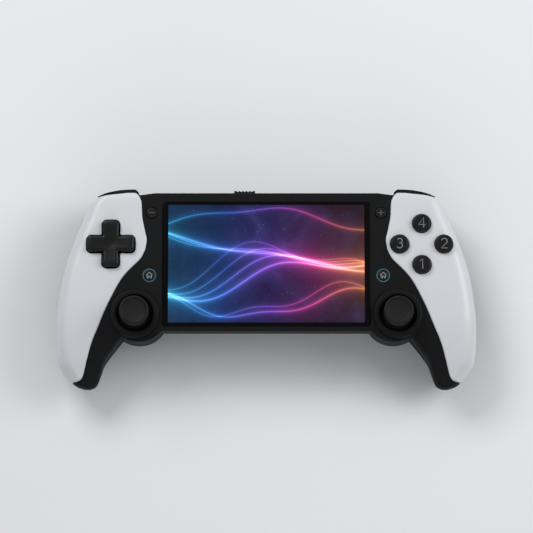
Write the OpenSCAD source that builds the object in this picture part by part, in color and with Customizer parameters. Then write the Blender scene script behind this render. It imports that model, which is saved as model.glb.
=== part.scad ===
// Handheld game console with two grips, lying on its back with the screen up.
// X runs to the right, Y to the top edge with the shoulder buttons, Z out of the screen.

/* [Body] */
// Height of the black front face above the resting surface
face_z = 38; // [37:0.5:40]
// Height of the flat back of the centre body
back_z = 20; // [18:0.5:20.5]
// Top edge of the centre body
body_top = 52.1; // [51.5:0.1:52.4]
// Lower edge of the centre body
body_bottom = -25; // [-26:0.1:-24.6]
// Wall of the moulded shells
wall = 2; // [1.6:0.1:2.2]
// Gap between two fixed pieces that sit on each other
seam = 0.1; // [0.05:0.01:0.15]
// Gap around a moving piece
play = 0.3; // [0.25:0.05:0.4]
// Height of the parting line between the front and rear shells
part_z = 27; // [26:0.5:28]
// Height of the parting line at the tips of the handles
part_tip_z = 17; // [15:0.5:18]

/* [Grips] */
// Width of a grip, from the edge of the lens to its widest point
grip_w = 58.4; // [56:0.1:61]
// Top end of a grip
grip_top = 52.3; // [52:0.1:52.6]
// Tip of a handle
grip_tip = -55; // [-57:0.5:-53]
// Rounding of the front outer edge of a grip
grip_front_r = 8; // [6:0.5:9]
// Rounding of the back edges of a grip
grip_back_r = 16; // [12:0.5:17]
// Thickness of a white grip plate
plate_t = 2; // [1.6:0.1:2.2]
// How far a grip plate stands above the black face
plate_proud = 1; // [0.6:0.1:1.4]

/* [Screen] */
// Black border of the lens beside the lit area
lens_side = 3.3; // [2.5:0.1:4]
// Black border of the lens above and below the lit area, on average
lens_rim = 2; // [1.8:0.1:2.4]
// Thickness of the lens
lens_t = 1.3; // [1:0.1:1.5]
// Width of the lit area
screen_w = 108; // [104:0.1:108.5]
// Height of the lit area
screen_h = 65.6; // [63:0.1:66]
// Middle of the lit area above the middle of the console
screen_y = 12.5; // [12.3:0.1:12.8]
// How far the lit area sits above the middle of the lens
screen_rise = 0.3; // [0:0.1:0.6]
// Thickness of the display panel
panel_t = 2.4; // [2:0.1:2.6]

/* [Sticks] */
// Gap between the lens and the ring around a stick
ring_gap = 1; // [0.6:0.1:1.6]
// Height of the sticks on the face
stick_y = -15.4; // [-16:0.1:-15]
// Outer radius of the ring around a stick
ring_r = 13.9; // [13.4:0.1:14.2]
// Radius of the well in the ring
well_r = 10; // [9.6:0.1:10.4]
// Height of the ring above the face
ring_h = 2.5; // [2:0.1:3]
// Radius of the stick's cap
cap_r = 8.15; // [7.5:0.05:8.5]
// Top of the cap above the face
cap_h = 12; // [11.5:0.1:12.5]
// Radius of the stick's shaft
shaft_r = 1.5; // [1.3:0.1:1.7]
// Radius of the round pod behind a stick
pod_r = 16; // [15.5:0.1:16.5]

/* [Buttons] */
// Distance of the direction pad and the face buttons from the edge of the lens
pad_in = 28.3; // [28:0.1:28.6]
// Height of the direction pad and the face buttons on the face
pad_y = 23.2; // [22.8:0.1:23.5]
// Tip to tip size of the direction pad
dpad_w = 25.8; // [25:0.1:26.6]
// Width of an arm of the direction pad at its tip
dpad_arm = 9.1; // [8.6:0.1:9.6]
// Height of the direction pad above the plate
dpad_h = 3.4; // [2.5:0.1:4]
// Tilt of the direction pad, in degrees
dpad_tilt = 5; // [4:0.5:6]
// Radius of a face button
button_r = 5; // [4.8:0.1:5.3]
// Distance of the left and right face buttons from the middle of their group
button_across = 12.2; // [12:0.1:12.4]
// Distance of the upper and lower face buttons from the middle of their group
button_upright = 11.5; // [11.3:0.1:12]
// Height of a face button above the plate
button_h = 2.6; // [2:0.1:3.2]
// Travel of a face button
button_travel = 1.4; // [1:0.1:1.6]
// Radius of the small buttons in the black face
small_r = 3; // [2.8:0.05:3.1]
// Travel of the small buttons
small_travel = 0.6; // [0.4:0.1:0.8]
// Distance of the home buttons from the edge of the lens
home_in = 7; // [6.7:0.1:7.3]
// Height of the home buttons on the face
home_y = 5.9; // [5.5:0.1:6.5]
// Outer radius of the light ring around a home button
light_r = 3.75; // [3.6:0.05:4]
// Distance of the minus and plus buttons from the edge of the lens
menu_in = 5.9; // [5.5:0.1:6.3]
// Height of the minus and plus buttons on the face
menu_y = 40.8; // [40:0.1:41.2]

/* [Shoulders] */
// Inner end of a shoulder button, from the edge of the lens
shoulder_start = 13.3; // [13.1:0.1:14.5]
// Width of a shoulder button
shoulder_w = 22.6; // [21:0.1:23]
// How far a shoulder button stands above the grip
shoulder_proud = 2.6; // [2.4:0.1:3]
// Travel of a shoulder button
shoulder_travel = 0.8; // [0.5:0.1:0.9]
// Width of a trigger
trigger_w = 20; // [18:0.5:20.5]
// Turn of a trigger, in degrees
trigger_turn = 16; // [10:1:18]
// Radius of a trigger's pin
pin_r = 1.2; // [1:0.1:1.4]
// Middle of the power slider
slider_x = -12; // [-14:0.5:-10]
// Width of the power slider
slider_w = 11.6; // [10:0.1:13]
// Travel of the power slider
slider_travel = 3; // [2:0.5:4]

/* [Ports] */
// Radius of the headphone socket's bore
jack_r = 1.8; // [1.75:0.01:1.85]
// Depth of the headphone socket's bore
jack_depth = 12; // [10:0.5:13]
// Distance of the headphone socket from the middle of the console
jack_x = 32; // [28:0.5:36]
// Distance of the charging socket from the middle of the console
usb_x = 12; // [8:0.5:16]
// Distance of the card reader from the middle of the console
card_x = -34; // [-38:0.5:-32]

/* [Inside] */
// Thickness of the battery
battery_t = 4; // [3:0.1:4.2]
// Width of the battery
battery_w = 84; // [70:1:88]
// Height of the battery
battery_h = 48; // [40:1:50]
// Thickness of the circuit boards
board_t = 1.2; // [1:0.1:1.4]
// Radius of a case screw's shank
screw_r = 1; // [0.8:0.1:1.2]

/* [Hidden] */
$fn = 48;
shell_fn = 24;
far = 200;

// Colours of the pieces
black = "#2a2b2d";
white = "#dfe4ec";
rubber_black = "#1c1c1e";
steel = "#b9bcc0";
board_green = "#1f5a3a";

// Places across the console, from the edge of the lens outwards
lens_w = screen_w + 2 * lens_side;
lens_h = screen_h + 2 * lens_rim;
lens_y = screen_y - screen_rise;
lens_r = 2;
face_half = lens_w / 2;
grip_reach = face_half + grip_w;
drawn_grip_w = 58.4;
grip_scale = grip_w / drawn_grip_w;
function on_grip(x) = face_half + x * grip_scale;
stick_x = face_half + ring_gap + ring_r;
menu_x = face_half + menu_in;
home_x = face_half + home_in;
pad_x = on_grip(pad_in);
button_places = [for (a = [0 : 90 : 270]) [button_across * grip_scale * cos(a), button_upright * sin(a), 0]];
shoulder_in = on_grip(shoulder_start);
shoulder_out = shoulder_in + shoulder_w;

// Heights of the layers behind the lens
gasket_t = 0.3;
ledge_t = 1.2;
backlight_t = 1.4;
frame_t = 0.8;
gasket_z = face_z - lens_t - gasket_t;
ledge_z = gasket_z - ledge_t;
panel_z = ledge_z - seam - panel_t;
backlight_z = panel_z - seam - backlight_t;
frame_z = backlight_z - seam - frame_t;
panel_w = screen_w + 4;
panel_h = screen_h + 3.6;
window_rim = 1;
ledge_rim = 0.8;

// Heights of the layers on the back wall
battery_z = back_z + wall + seam;
board_z = battery_z + battery_t + seam;
board_top = board_z + board_t;
board_half = face_half - 3.3;
board_low = -16;
board_high = 46.5;
wing_half = face_half + 9.7;
wing_low = 2;
wing_high = 42.5;
battery_y = 10;
can_w = 32;
can_t = 1.8;

// Heights under the grip plates
plate_z = face_z + plate_proud;
grip_wall = plate_t + seam + wall;
ceiling_z = plate_z - grip_wall;
face_ceiling_z = face_z - wall;

// Face buttons and their membrane
flange_t = 1;
button_flange_z = ceiling_z - 2 * seam - flange_t;
dome_h = 1.3;
membrane_t = 0.8;
button_dome_z = button_flange_z - button_travel - 2 * seam - dome_h;
control_top = button_dome_z - membrane_t - seam;
control_z = control_top - board_t;
dome_base_r = 4;
dome_top_r = 3;
control_r = 14 * grip_scale;
control_lobe_r = dome_base_r + 0.4;
membrane_in = 0.2;
boss_r = 1.8;
boss_at = 9.8 * grip_scale;
boss_pad_r = boss_r + 0.5;
button_ear = 0.9;
button_ear_from = 2.2;

// Small buttons, their switches and light rings
small_switch_t = 1.2;
small_flange = 0.9;
small_stem_r = 1.5;
small_switch_top = board_top + seam + small_switch_t;
menu_rise = 0.7;
home_rise = 0.4;
light_depth = 1.2;

// Direction pad
dpad_flange = 1.2;
dpad_flange_r = dpad_w / 2 + play;
dpad_gap = 0.75;
dpad_rise = (dpad_w / 2 + dpad_arm / 2 + 2 * dpad_flange) * sin(dpad_tilt) + 2 * seam;
dpad_flange_z = ceiling_z - dpad_rise - flange_t;
dpad_pivot_z = dpad_flange_z + flange_t + 0.9;
dpad_pin_r = 1;
dpad_pocket_r = 5;
dpad_post_r = 3.8;
dpad_dome_at = 9;
dpad_dome_r = 2.2;
pin_gap = 0.05;

// Sticks
stick_pivot = face_z - 11;
dome_r = 12.5;
dome_t = 1;
dome_angle = 62;
cap_t = 4.2;
cap_z = face_z + cap_h - stick_pivot;
housing_r = 10.2;
housing_half = 9.6;
housing_top = 3.8;
housing_floor = -6.4;
cup_r = 7.8;
rocker_r = 7.2;
rocker_hole = 5.6;
rocker_half = 1.7;
trunnion_r = 1.3;
hub_r = 3.4;
gimbal_pin_r = 1.2;
neck_r = 3.6;
dish_r = 20;
dish_depth = 1.1;
stick_board_z = stick_pivot + housing_floor - seam - board_t;
stick_board_r = housing_r + 0.6;
stick_post_r = 2.2;
stick_posts = [[13, 9], [14, -5]];
stick_shaft_low = -4;
stick_shaft_bite = 0.9;
stick_cap_bore = 1;
pod_x = stick_x - 2.2;
pod_y = stick_y + 0.4;
pod_back = stick_board_z - wall - 2.4;
pod_round_r = 6;
pod_sink = 0.4;
ring_lip = 1.4;

// Centre body
edge_r = 1;
body_back_r = 8;
body_half = face_half + 14.7;
body_corner_x = face_half + 4.2;
body_corner_slope = 0.12;

// Grip stations from the top edge to the tip of the handle:
// y, inner flank out from the lens, outer flank in from the widest point, back, fall of the face
stations = [
  [grip_top, 13.7, 35.7, 22, 2],
  [grip_top - 1.5, 10.7, 23.4, 17, 0.5],
  [grip_top - 5, 6.7, 18.2, 11, 0],
  [38, 0.7, 14.5, 3, 0],
  [24.6, -0.3, 9.1, -1.6, 0],
  [9, -0.3, 4.1, 3.2, 0],
  [-10, 4.7, 0.9, 1.5, 0.6],
  [-25, 19.7, 0, -1.6, 2.4],
  [-39.4, 30.9, 0.8, 4, 6.5],
  [-46.4, 33.7, 3.8, 9, 10],
  [grip_tip + 2, 36.2, 10.2, 14.5, 13.5],
  [grip_tip, 39.2, 15, 17, 16]
];
outside_steps = [2, 4];
inside_steps = [1, 2];
grip_inner_r = 5;
least_r = 0.8;

// Inner edge of a grip plate out from the lens, and its height, from the top to the tip
plate_edge = [
  [18.2, 55.5], [12.3, 48.8], [11.1, 37.9], [9, 27.8], [9, 23.4], [11.5, 16],
  [21.6, 5], [29.3, -9], [34.7, -21.4], [39.3, -32.8], [42.9, -45.8], [44, -49],
  [45.5, -50.8], [47.8, -51.6], [54.7, -52.2]
];

// Shoulder buttons and triggers
shoulder_back = 46.5;
shoulder_low = part_z + play;
shoulder_high = plate_z - plate_t - 1.4;
shoulder_flange = 1;
shoulder_flange_d = 1.1;
shoulder_round = 2;
shoulder_corner = 2;
shoulder_fall = 4.4;
switch_w = 6;
switch_d = 3.5;
switch_front = shoulder_back - shoulder_travel - 2 * seam;
shoulder_x = (shoulder_in + shoulder_out) / 2;
trigger_in = on_grip(21.7) - trigger_w / 2;
trigger_y = 46.5;
trigger_z = 20.5;
trigger_rise = 3.6;
trigger_top = trigger_z + trigger_rise;
trigger_boss_r = 3;
trigger_bay_y = 40;
trigger_lever_low = trigger_z - 2.5;
// Outer and inner curve of a trigger, as y and z from its pin
trigger_outer = [[6.1, trigger_rise], [7.3, -0.5], [6.8, -6], [3.8, -11.3], [-1.5, -14.5]];
trigger_inner = [[-2.1, -12.7], [1.5, -9.3], [3.1, -5], [2.9, -2.5]];
ear_t = 1.6;

// Power slider
slider_z = board_top + 2.1;
slider_half = 2.2;
slider_proud = 2.3;
slider_neck = 4;
slider_ridges = 4;
slider_pitch = 1.9;

// Ports on the top edge
usb_w = 8.94;
usb_h = 3.26;
usb_z = board_top + seam + usb_h / 2;
jack_z = board_z + 2.4;
jack_half = 2.3;
jack_nose_r = jack_half + 0.3;
jack_w = 6.8;
jack_back = body_top - jack_depth - 2.2;
frame_top = jack_back - 3 * seam;
card_t = 1.6;
card_w = 14;
card_slot_w = 11.2;
card_slot_t = 0.9;
port_cut = 8;

// Case screws of one half, as x and y
screws = [[face_half + 1.3, 47.3], [on_grip(40.7), 4], [on_grip(43.7), -36]];
screw_head_r = 2;
screw_head_t = 1.6;
screw_sink = 0.8;
screw_boss_r = 3.6;
screw_front_boss_r = 2.2;
screw_depth = 8;
screw_bite = 5;

// Speakers
speaker_x = on_grip(39.7);
speaker_y = -16;
speaker_z = 10;
speaker_size = [20, 12, 5];
grille_slots = 4;
grille_pitch = 2.4;

// Point between b and c on a smooth curve through a, b, c and d
function smooth(a, b, c, d, t) =
  b + 0.5 * t * (c - a) + t * t * (a - 2.5 * b + 2 * c - 0.5 * d)
  + t * t * t * (1.5 * (b - c) + 0.5 * (d - a));

// Smooth curve through all points, with some steps between two neighbours
function curve(p, steps) = [
  for (i = [0 : len(p) - 2], s = [0 : steps - 1])
    smooth(p[max(i - 1, 0)], p[i], p[i + 1], p[min(i + 2, len(p) - 1)], s / steps),
  p[len(p) - 1]
];

// Grip sections as y, inner x, outer x, back z and front z
function grip_sections(steps) = [
  for (s = curve(stations, steps))
    [s[0], on_grip(s[1]), grip_reach - s[2] * grip_scale, max(s[3], 0), plate_z - s[4]]
];
function grip_back(y) = lookup(y, [for (s = grip_sections(1)) [s[0], s[3]]]);

// Quarter turn of an edge, starting at an angle
function edge_arc(x, z, r, from, steps) = [
  for (k = [0 : steps])
    let (a = from + 90 * k / steps) [x + r * cos(a), z + r * sin(a)]
];

// Radius that is left of an edge, within half the section
function edge_left(r, d, half) = min(max(r - d, least_r), 0.95 * half);

// Outline of a grip section, in from the outside by d, with the front lowered by sink
function section_outline(s, d, sink, steps) =
  let (
    xi = s[1] + d,
    xo = s[2] - d,
    zb = s[3] + d,
    zf = s[4] - d - sink,
    half = min(xo - xi, zf - zb) / 2,
    fo = edge_left(grip_front_r, d, half),
    fi = edge_left(grip_inner_r, d, half),
    back = edge_left(grip_back_r, d, half)
  )
  concat(
    edge_arc(xo - fo, zf - fo, fo, 0, steps),
    edge_arc(xi + fi, zf - fi, fi, 90, steps),
    edge_arc(xi + back, zb + back, back, 180, steps),
    edge_arc(xo - back, zb + back, back, 270, steps)
  );

// Place of a section along Y when the grip is shrunk by d at both ends
function drawn_in(y, d) =
  let (middle = (grip_top + grip_tip) / 2, half = (grip_top - grip_tip) / 2)
  middle + (y - middle) * (half - d) / half;

// Children on both sides of the console
module both_sides() {
  children();
  mirror([1, 0, 0]) children();
}

// Children on the right side for 1, on the left side for -1
module on_side(side) {
  if (side > 0) children();
  else mirror([1, 0, 0]) children();
}

// Profile in Y and Z, drawn out along X about the middle
module across(w) {
  rotate([90, 0, 90]) translate([0, 0, -w / 2]) linear_extrude(w) children();
}

// Profile in X and Y between two heights
module upright(low, high) {
  translate([0, 0, low]) linear_extrude(high - low) children();
}

// Rectangle with round corners about its middle
module rounded_rect(w, h, r) {
  offset(r) square([w - 2 * r, h - 2 * r], center = true);
}

// Solid drawn through a row of convex outlines with equal point counts
module loft(rings) {
  for (i = [0 : len(rings) - 2]) {
    n = len(rings[i]);
    hull() polyhedron(
      points = concat(rings[i], rings[i + 1]),
      faces = [[for (k = [0 : n - 1]) k], [for (k = [n - 1 : -1 : 0]) n + k]]
    );
  }
}

// Right grip, in from the outside by d, with its front lowered by sink.
// Steps are those between two stations and those of a rounded edge.
module grip(d = 0, sink = 0, steps = outside_steps) {
  least = 2 * d + sink + 2 * least_r;
  loft([
    for (s = grip_sections(steps[0]))
      if (min(s[2] - s[1], s[4] - s[3]) > least)
        [for (p = section_outline(s, d, sink, steps[1])) [p[0], drawn_in(s[0], d), p[1]]]
  ]);
}

// Side profile of the centre body, in from the outside by d
module body_profile(d) {
  offset(delta = -d) hull() {
    for (y = [body_bottom + edge_r, body_top - edge_r])
      translate([y, face_z - edge_r]) circle(edge_r, $fn = shell_fn / 2);
    for (y = [body_bottom + body_back_r, body_top - body_back_r])
      translate([y, back_z + body_back_r]) circle(body_back_r, $fn = shell_fn);
  }
}

// Centre body between the grips, with its top corners sloping down
module body_slab(d = 0) {
  drop = body_corner_slope * (body_half - body_corner_x);
  intersection() {
    across(2 * (body_half - d)) body_profile(d);
    upright(0, face_z + 1) offset(delta = -d) polygon([
      [-body_half, body_bottom], [body_half, body_bottom], [body_half, body_top - drop],
      [body_corner_x, body_top], [-body_corner_x, body_top], [-body_half, body_top - drop]
    ]);
  }
}

// Round pod behind the right stick
module pod(d = 0) {
  r = pod_r - d;
  low = pod_back + d;
  high = face_z - pod_sink - d;
  round_r = pod_round_r - d;
  translate([pod_x, pod_y, 0]) rotate_extrude($fn = 1.5 * shell_fn) polygon(concat(
    [[0, low]],
    [for (a = [0 : 30 : 90]) [r - round_r + round_r * sin(a), low + round_r - round_r * cos(a)]],
    [[r, high - edge_r], [r - edge_r, high], [0, high]]
  ));
}

// Space in front of the parting line, and space behind it
module front_zone() {
  across(2 * far) polygon([
    [far, far], [far, part_z + seam / 2], [stick_y, part_z + seam / 2],
    [grip_tip, part_tip_z + seam / 2], [-far, part_tip_z - far], [-far, far]
  ]);
}
module rear_zone() {
  across(2 * far) polygon([
    [far, -far], [far, part_z - seam / 2], [stick_y, part_z - seam / 2],
    [grip_tip, part_tip_z - seam / 2], [-far, part_tip_z - far], [-far, -far]
  ]);
}

// Plan of the right grip plate, grown by a gap
module plate_plan(gap = 0) {
  edge = [for (p = curve(plate_edge, 4)) [on_grip(p[0]), p[1]]];
  offset(delta = gap) polygon(concat(edge, [[far, -far / 2], [far, far / 2]]));
}

// Hollow of the shells, in from the outside of the body and of the grips
module cavity(d, grip_d) {
  body_slab(d);
  both_sides() {
    pod(d);
    grip(grip_d, 0, inside_steps);
  }
}

// Cross of the direction pad, grown by a gap
module dpad_plan(gap = 0) {
  waist = dpad_arm - 1.1;
  tip_r = 2.2;
  reach = dpad_w / 2;
  offset(delta = gap) offset(tip_r) offset(delta = -tip_r)
    for (a = [0 : 90 : 270]) rotate(a) polygon([
      [0, -waist / 2], [reach, -dpad_arm / 2], [reach, dpad_arm / 2], [0, waist / 2]
    ]);
}

// Flange round the foot of the cross, cut back to a circle at the arm tips and grown by a gap
module dpad_flange_plan(gap = 0) {
  intersection() {
    dpad_plan(dpad_flange + gap);
    circle(dpad_flange_r + gap, $fn = shell_fn);
  }
}

// Places of the four face buttons, counted from the right
module at_button(i) {
  translate([pad_x, pad_y, 0]) translate(button_places[i]) rotate(90 * i) children();
}

// Outline of the right shoulder button, grown by a gap
module shoulder_plan(gap = 0) {
  top = grip_top + shoulder_proud;
  offset(delta = gap) polygon(concat(
    [[shoulder_in, shoulder_back], [shoulder_in, top - shoulder_corner]],
    curve([
      [shoulder_in + shoulder_corner, top],
      [shoulder_in + 0.44 * shoulder_w, top - 0.14 * shoulder_fall],
      [shoulder_in + 0.8 * shoulder_w, top - 0.55 * shoulder_fall],
      [shoulder_out, top - shoulder_fall]
    ], 3),
    [[shoulder_out, shoulder_back]]
  ));
}

// Room for the right shoulder button and for its flange
module shoulder_room() {
  for (y = [0, -shoulder_travel]) translate([0, y, 0])
    upright(part_z - seam, shoulder_high + play) shoulder_plan(play);
  upright(shoulder_low + shoulder_flange - play, shoulder_high - shoulder_flange + play) hull() {
    shoulder_flange_plan(play);
    translate([0, -shoulder_travel]) shoulder_flange_plan(play);
  }
}

// Room for the right trigger in the rear shell, grown by a wall
module trigger_bay(grow = 0) {
  gap = play + grow;
  translate([trigger_in - gap, trigger_bay_y - grow, -1])
    cube([trigger_w + 2 * gap, far, trigger_top + gap + 1]);
}

// Openings on the top edge for the ports and the power slider
module top_openings() {
  along = [-90, 0, 0];
  translate([usb_x, body_top, usb_z]) rotate(along) upright(-port_cut / 2, port_cut / 2)
    rounded_rect(usb_w + 4 * seam, usb_h + 4 * seam, usb_h / 2 - seam);
  translate([jack_x, body_top, jack_z]) rotate(along)
    cylinder(h = port_cut, r = jack_nose_r + 2 * seam, center = true, $fn = shell_fn);
  translate([card_x, body_top, board_top + seam + card_t / 2])
    cube([card_slot_w + 0.8, port_cut, card_t - 2 * seam], center = true);
  translate([slider_x + slider_travel / 2, body_top, slider_z])
    cube([slider_neck + slider_travel + 2 * play, port_cut, 2 * (slider_half - 1 + play)], center = true);
}

// Bosses between the shells for the right half's screws
module screw_bosses(r) {
  for (p = screws) translate([p[0], p[1], 0]) cylinder(h = face_z - edge_r, r = r, $fn = shell_fn / 2);
}

// Holes for the right half's screws, from the back
module screw_holes() {
  for (p = screws) translate([p[0], p[1], screw_seat(p)]) {
    translate([0, 0, -far]) cylinder(h = far + seam, r = screw_head_r + 2 * seam, $fn = shell_fn);
    cylinder(h = screw_length(p) + 2 * seam, r = screw_r + seam, $fn = shell_fn / 2);
  }
}

// Height of the parting line along the console
function part_at(y) =
  y > stick_y ? part_z : part_z + (part_tip_z - part_z) * (stick_y - y) / (stick_y - grip_tip);

// Height at which a screw's head bears on the rear shell
function screw_seat(p) = max(back_at(p) + screw_sink + screw_head_t, part_at(p[1]) - screw_depth);
function screw_length(p) = part_at(p[1]) + screw_bite - screw_seat(p);
function back_at(p) = p[0] < body_corner_x ? back_z : grip_back(p[1]);

module front_shell() {
  color(black) difference() {
    union() {
      difference() {
        intersection() {
          union() {
            difference() {
              union() {
                body_slab();
                both_sides() {
                  pod();
                  grip(0, plate_proud);
                }
              }
              both_sides() upright(-far, far) plate_plan(seam);
            }
            both_sides() grip(plate_t + seam, 0, inside_steps);
          }
          front_zone();
        }
        cavity(wall, grip_wall);
      }
      front_inner_ribs();
    }
    front_openings();
  }
}

// Screen ledge, screw bosses and posts that hang from the inside of the front shell
module front_inner_ribs() {
  translate([0, lens_y, 0]) upright(ledge_z, face_z - edge_r)
    square([lens_w + 2 * ledge_rim, lens_h + ledge_rim], center = true);
  intersection() {
    both_sides() screw_bosses(screw_front_boss_r);
    shell_core();
    front_zone();
  }
  intersection() {
    both_sides() {
      for (x = [-boss_at, boss_at], y = [-boss_at, boss_at])
        translate([pad_x + x, pad_y + y, control_top + seam])
          cylinder(h = far, r = boss_r, $fn = shell_fn / 2);
      for (p = stick_posts) translate([stick_x + p[0], stick_y + p[1], stick_board_z + board_t + seam])
        cylinder(h = far, r = stick_post_r, $fn = shell_fn / 2);
    }
    shell_core();
  }
}

// Inside of the shells under the plates, without the walls' outer skin
module shell_core() {
  body_slab(seam);
  both_sides() grip(plate_t + 2 * seam, 0, inside_steps);
}

// Holes through the front shell
module front_openings() {
  translate([0, lens_y, 0]) upright(gasket_z, far)
    rounded_rect(lens_w + 2 * seam, lens_h + 2 * seam, lens_r);
  translate([0, screen_y, 0]) upright(0, far)
    square([screen_w + 2 * window_rim, screen_h + 2 * window_rim], center = true);
  top_openings();
  both_sides() {
    shoulder_room();
    screw_holes();
    translate([stick_x, stick_y, face_z - 3 * wall])
      cylinder(h = far, r = ring_r - ring_lip + 2 * seam, $fn = 2 * shell_fn);
    translate([stick_x, stick_y, stick_pivot]) sphere(dome_r + play);
    translate([menu_x, menu_y, 0]) cylinder(h = far, r = small_r + play, $fn = shell_fn);
    translate([home_x, home_y, 0]) cylinder(h = far, r = small_r + play, $fn = shell_fn);
    translate([home_x, home_y, face_z - light_depth]) cylinder(h = far, r = light_r + seam, $fn = shell_fn);
  }
  button_holes();
  on_side(-1) {
    dpad_hole();
    dpad_room();
  }
}

// Holes for the face buttons and the direction pad
module button_holes() {
  for (i = [0 : 3]) at_button(i) cylinder(h = far, r = button_r + play, $fn = shell_fn);
}
module dpad_hole() {
  translate([pad_x, pad_y, 0]) upright(0, far) dpad_plan(dpad_gap);
}

// Room for the flange of the direction pad when it tilts
module dpad_room() {
  translate([pad_x, pad_y, 0]) upright(dpad_flange_z, ceiling_z - seam) dpad_flange_plan(play);
}

module grip_plate(side) {
  color(white) on_side(side) difference() {
    intersection() {
      grip();
      upright(-far, far) plate_plan();
      front_zone();
    }
    grip(plate_t, 0, inside_steps);
    shoulder_room();
    if (side > 0) button_holes();
    else dpad_hole();
  }
}

module rear_shell() {
  color(black) difference() {
    union() {
      difference() {
        intersection() {
          shell_outside();
          rear_zone();
        }
        cavity(wall, wall);
      }
      intersection() {
        rear_inner_ribs();
        cavity(wall / 2, wall / 2);
        rear_zone();
      }
    }
    top_openings();
    both_sides() {
      screw_holes();
      trigger_bay();
      trigger_axis() cylinder(h = far, r = pin_r + seam, center = true, $fn = shell_fn);
      speaker_slots();
    }
  }
}

// Outside of both shells together
module shell_outside() {
  body_slab();
  both_sides() {
    pod();
    grip();
  }
}

// Screw bosses, trigger bays and speaker frames inside the rear shell
module rear_inner_ribs() {
  both_sides() {
    screw_bosses(screw_boss_r);
    trigger_bay(ear_t);
    translate([speaker_x, speaker_y, 0]) upright(0, speaker_z - seam) difference() {
      square([speaker_size[0], speaker_size[1]], center = true);
      square([speaker_size[0] - 2 * wall, speaker_size[1] - 2 * wall], center = true);
    }
  }
}

// Sound slots under the right speaker
module speaker_slots() {
  half = speaker_size[0] / 2 - 2 * wall;
  for (i = [0 : grille_slots - 1])
    translate([speaker_x, speaker_y + (i - (grille_slots - 1) / 2) * grille_pitch * 0.8, -1]) hull()
      for (x = [-half, half]) translate([x, 0, 0]) cylinder(h = speaker_z, r = 0.5, $fn = shell_fn / 4);
}

module screen_lens() {
  color("#0c0d10") translate([0, lens_y, 0]) upright(face_z - lens_t, face_z)
    rounded_rect(lens_w, lens_h, lens_r);
}

module lens_gasket() {
  color(rubber_black) upright(gasket_z, gasket_z + gasket_t) difference() {
    translate([0, lens_y]) rounded_rect(lens_w - 2 * seam, lens_h - 2 * seam, lens_r);
    translate([0, screen_y]) square([screen_w + 2 * window_rim, screen_h + 2 * window_rim], center = true);
  }
}

module display_panel() {
  color("#20304a") translate([0, screen_y, 0]) upright(panel_z, panel_z + panel_t)
    square([panel_w, panel_h], center = true);
}

module backlight() {
  color("white") translate([0, screen_y, 0]) upright(backlight_z, backlight_z + backlight_t)
    rounded_rect(panel_w, panel_h, 1);
}

module mid_frame() {
  low = screen_y - panel_h / 2 + 1;
  color(steel) upright(frame_z, frame_z + frame_t) difference() {
    translate([1 - panel_w / 2, low]) square([panel_w - 2, frame_top - low]);
    for (x = [-1, 1]) translate([x * panel_w / 4, screen_y]) rounded_rect(panel_w / 4, panel_h / 3, 3);
  }
}

module main_board() {
  color(board_green) upright(board_z, board_top) difference() {
    union() {
      translate([-board_half, board_low]) square([2 * board_half, board_high - board_low]);
      translate([-wing_half, wing_low]) square([2 * wing_half, wing_high - wing_low]);
    }
    translate([jack_x - jack_w / 2 - 2 * seam, jack_back - 2 * seam]) square([jack_w + 4 * seam, far]);
  }
}

module shield_can() {
  color(steel) translate([0, screen_y, 0]) upright(board_top + seam, board_top + seam + can_t)
    rounded_rect(can_w, can_w, 1.5);
}

module battery() {
  color("#3a3d42") translate([0, battery_y, 0]) upright(battery_z, battery_z + battery_t)
    rounded_rect(battery_w, battery_h, 2);
}

// Plan of a control board about the middle of the pad, in from its edge by d
module control_plan(d = 0) {
  circle(control_r - d);
  for (p = button_places) translate(p) circle(control_lobe_r - d);
  for (x = [-boss_at, boss_at], y = [-boss_at, boss_at]) translate([x, y]) circle(boss_pad_r - d);
}

module control_board(side) {
  color(board_green) on_side(side) upright(control_z, control_top) {
    translate([pad_x, pad_y]) control_plan();
    translate([shoulder_x - switch_w, pad_y]) square([2 * switch_w, switch_front - pad_y]);
  }
}

module shoulder_switches() {
  color(steel) both_sides()
    translate([shoulder_x - switch_w / 2, switch_front - switch_d, control_top + seam])
      cube([switch_w, switch_d, switch_d]);
}

module button_membrane() {
  base = control_top + seam;
  color("#5a5d63") {
    translate([pad_x, pad_y, 0]) upright(base, base + membrane_t) difference() {
      control_plan(membrane_in);
      membrane_boss_holes();
    }
    for (i = [0 : 3]) at_button(i) translate([0, 0, base + membrane_t])
      cylinder(h = dome_h - seam, r1 = dome_base_r, r2 = dome_top_r);
  }
}

module dpad_membrane() {
  base = control_top + seam;
  rest = dpad_flange_z - (dpad_dome_at + 2 * dpad_dome_r) * sin(dpad_tilt) - 2 * seam;
  sheet_t = membrane_t / 2;
  color("#5a5d63") translate([-pad_x, pad_y, 0]) {
    upright(base, base + sheet_t) difference() {
      control_plan(membrane_in);
      membrane_boss_holes();
      circle(dpad_post_r + 2 * play);
    }
    for (a = [0 : 90 : 270]) rotate(a) translate([dpad_dome_at, 0, base + sheet_t])
      cylinder(h = rest - base - sheet_t, r1 = dpad_dome_r + seam, r2 = dpad_dome_r);
  }
}

// Holes for the front shell's posts in a membrane
module membrane_boss_holes() {
  for (x = [-boss_at, boss_at], y = [-boss_at, boss_at]) translate([x, y]) circle(boss_r + play);
}

module dpad_post() {
  ear_in = 2.4;
  ear_out = 3.8;
  foot = control_top + seam;
  color(black) translate([-pad_x, pad_y, 0]) difference() {
    union() {
      translate([0, 0, foot]) cylinder(h = dpad_pivot_z - 2.2 - foot, r = dpad_post_r);
      for (side = [-1, 1]) translate([side * (ear_in + ear_out) / 2, 0, dpad_pivot_z - 1.2])
        cube([ear_out - ear_in, 3.6, 4.4], center = true);
    }
    translate([0, 0, dpad_pivot_z]) rotate([0, 90, 0])
      cylinder(h = far, r = dpad_pin_r + pin_gap, center = true);
  }
}

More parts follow.
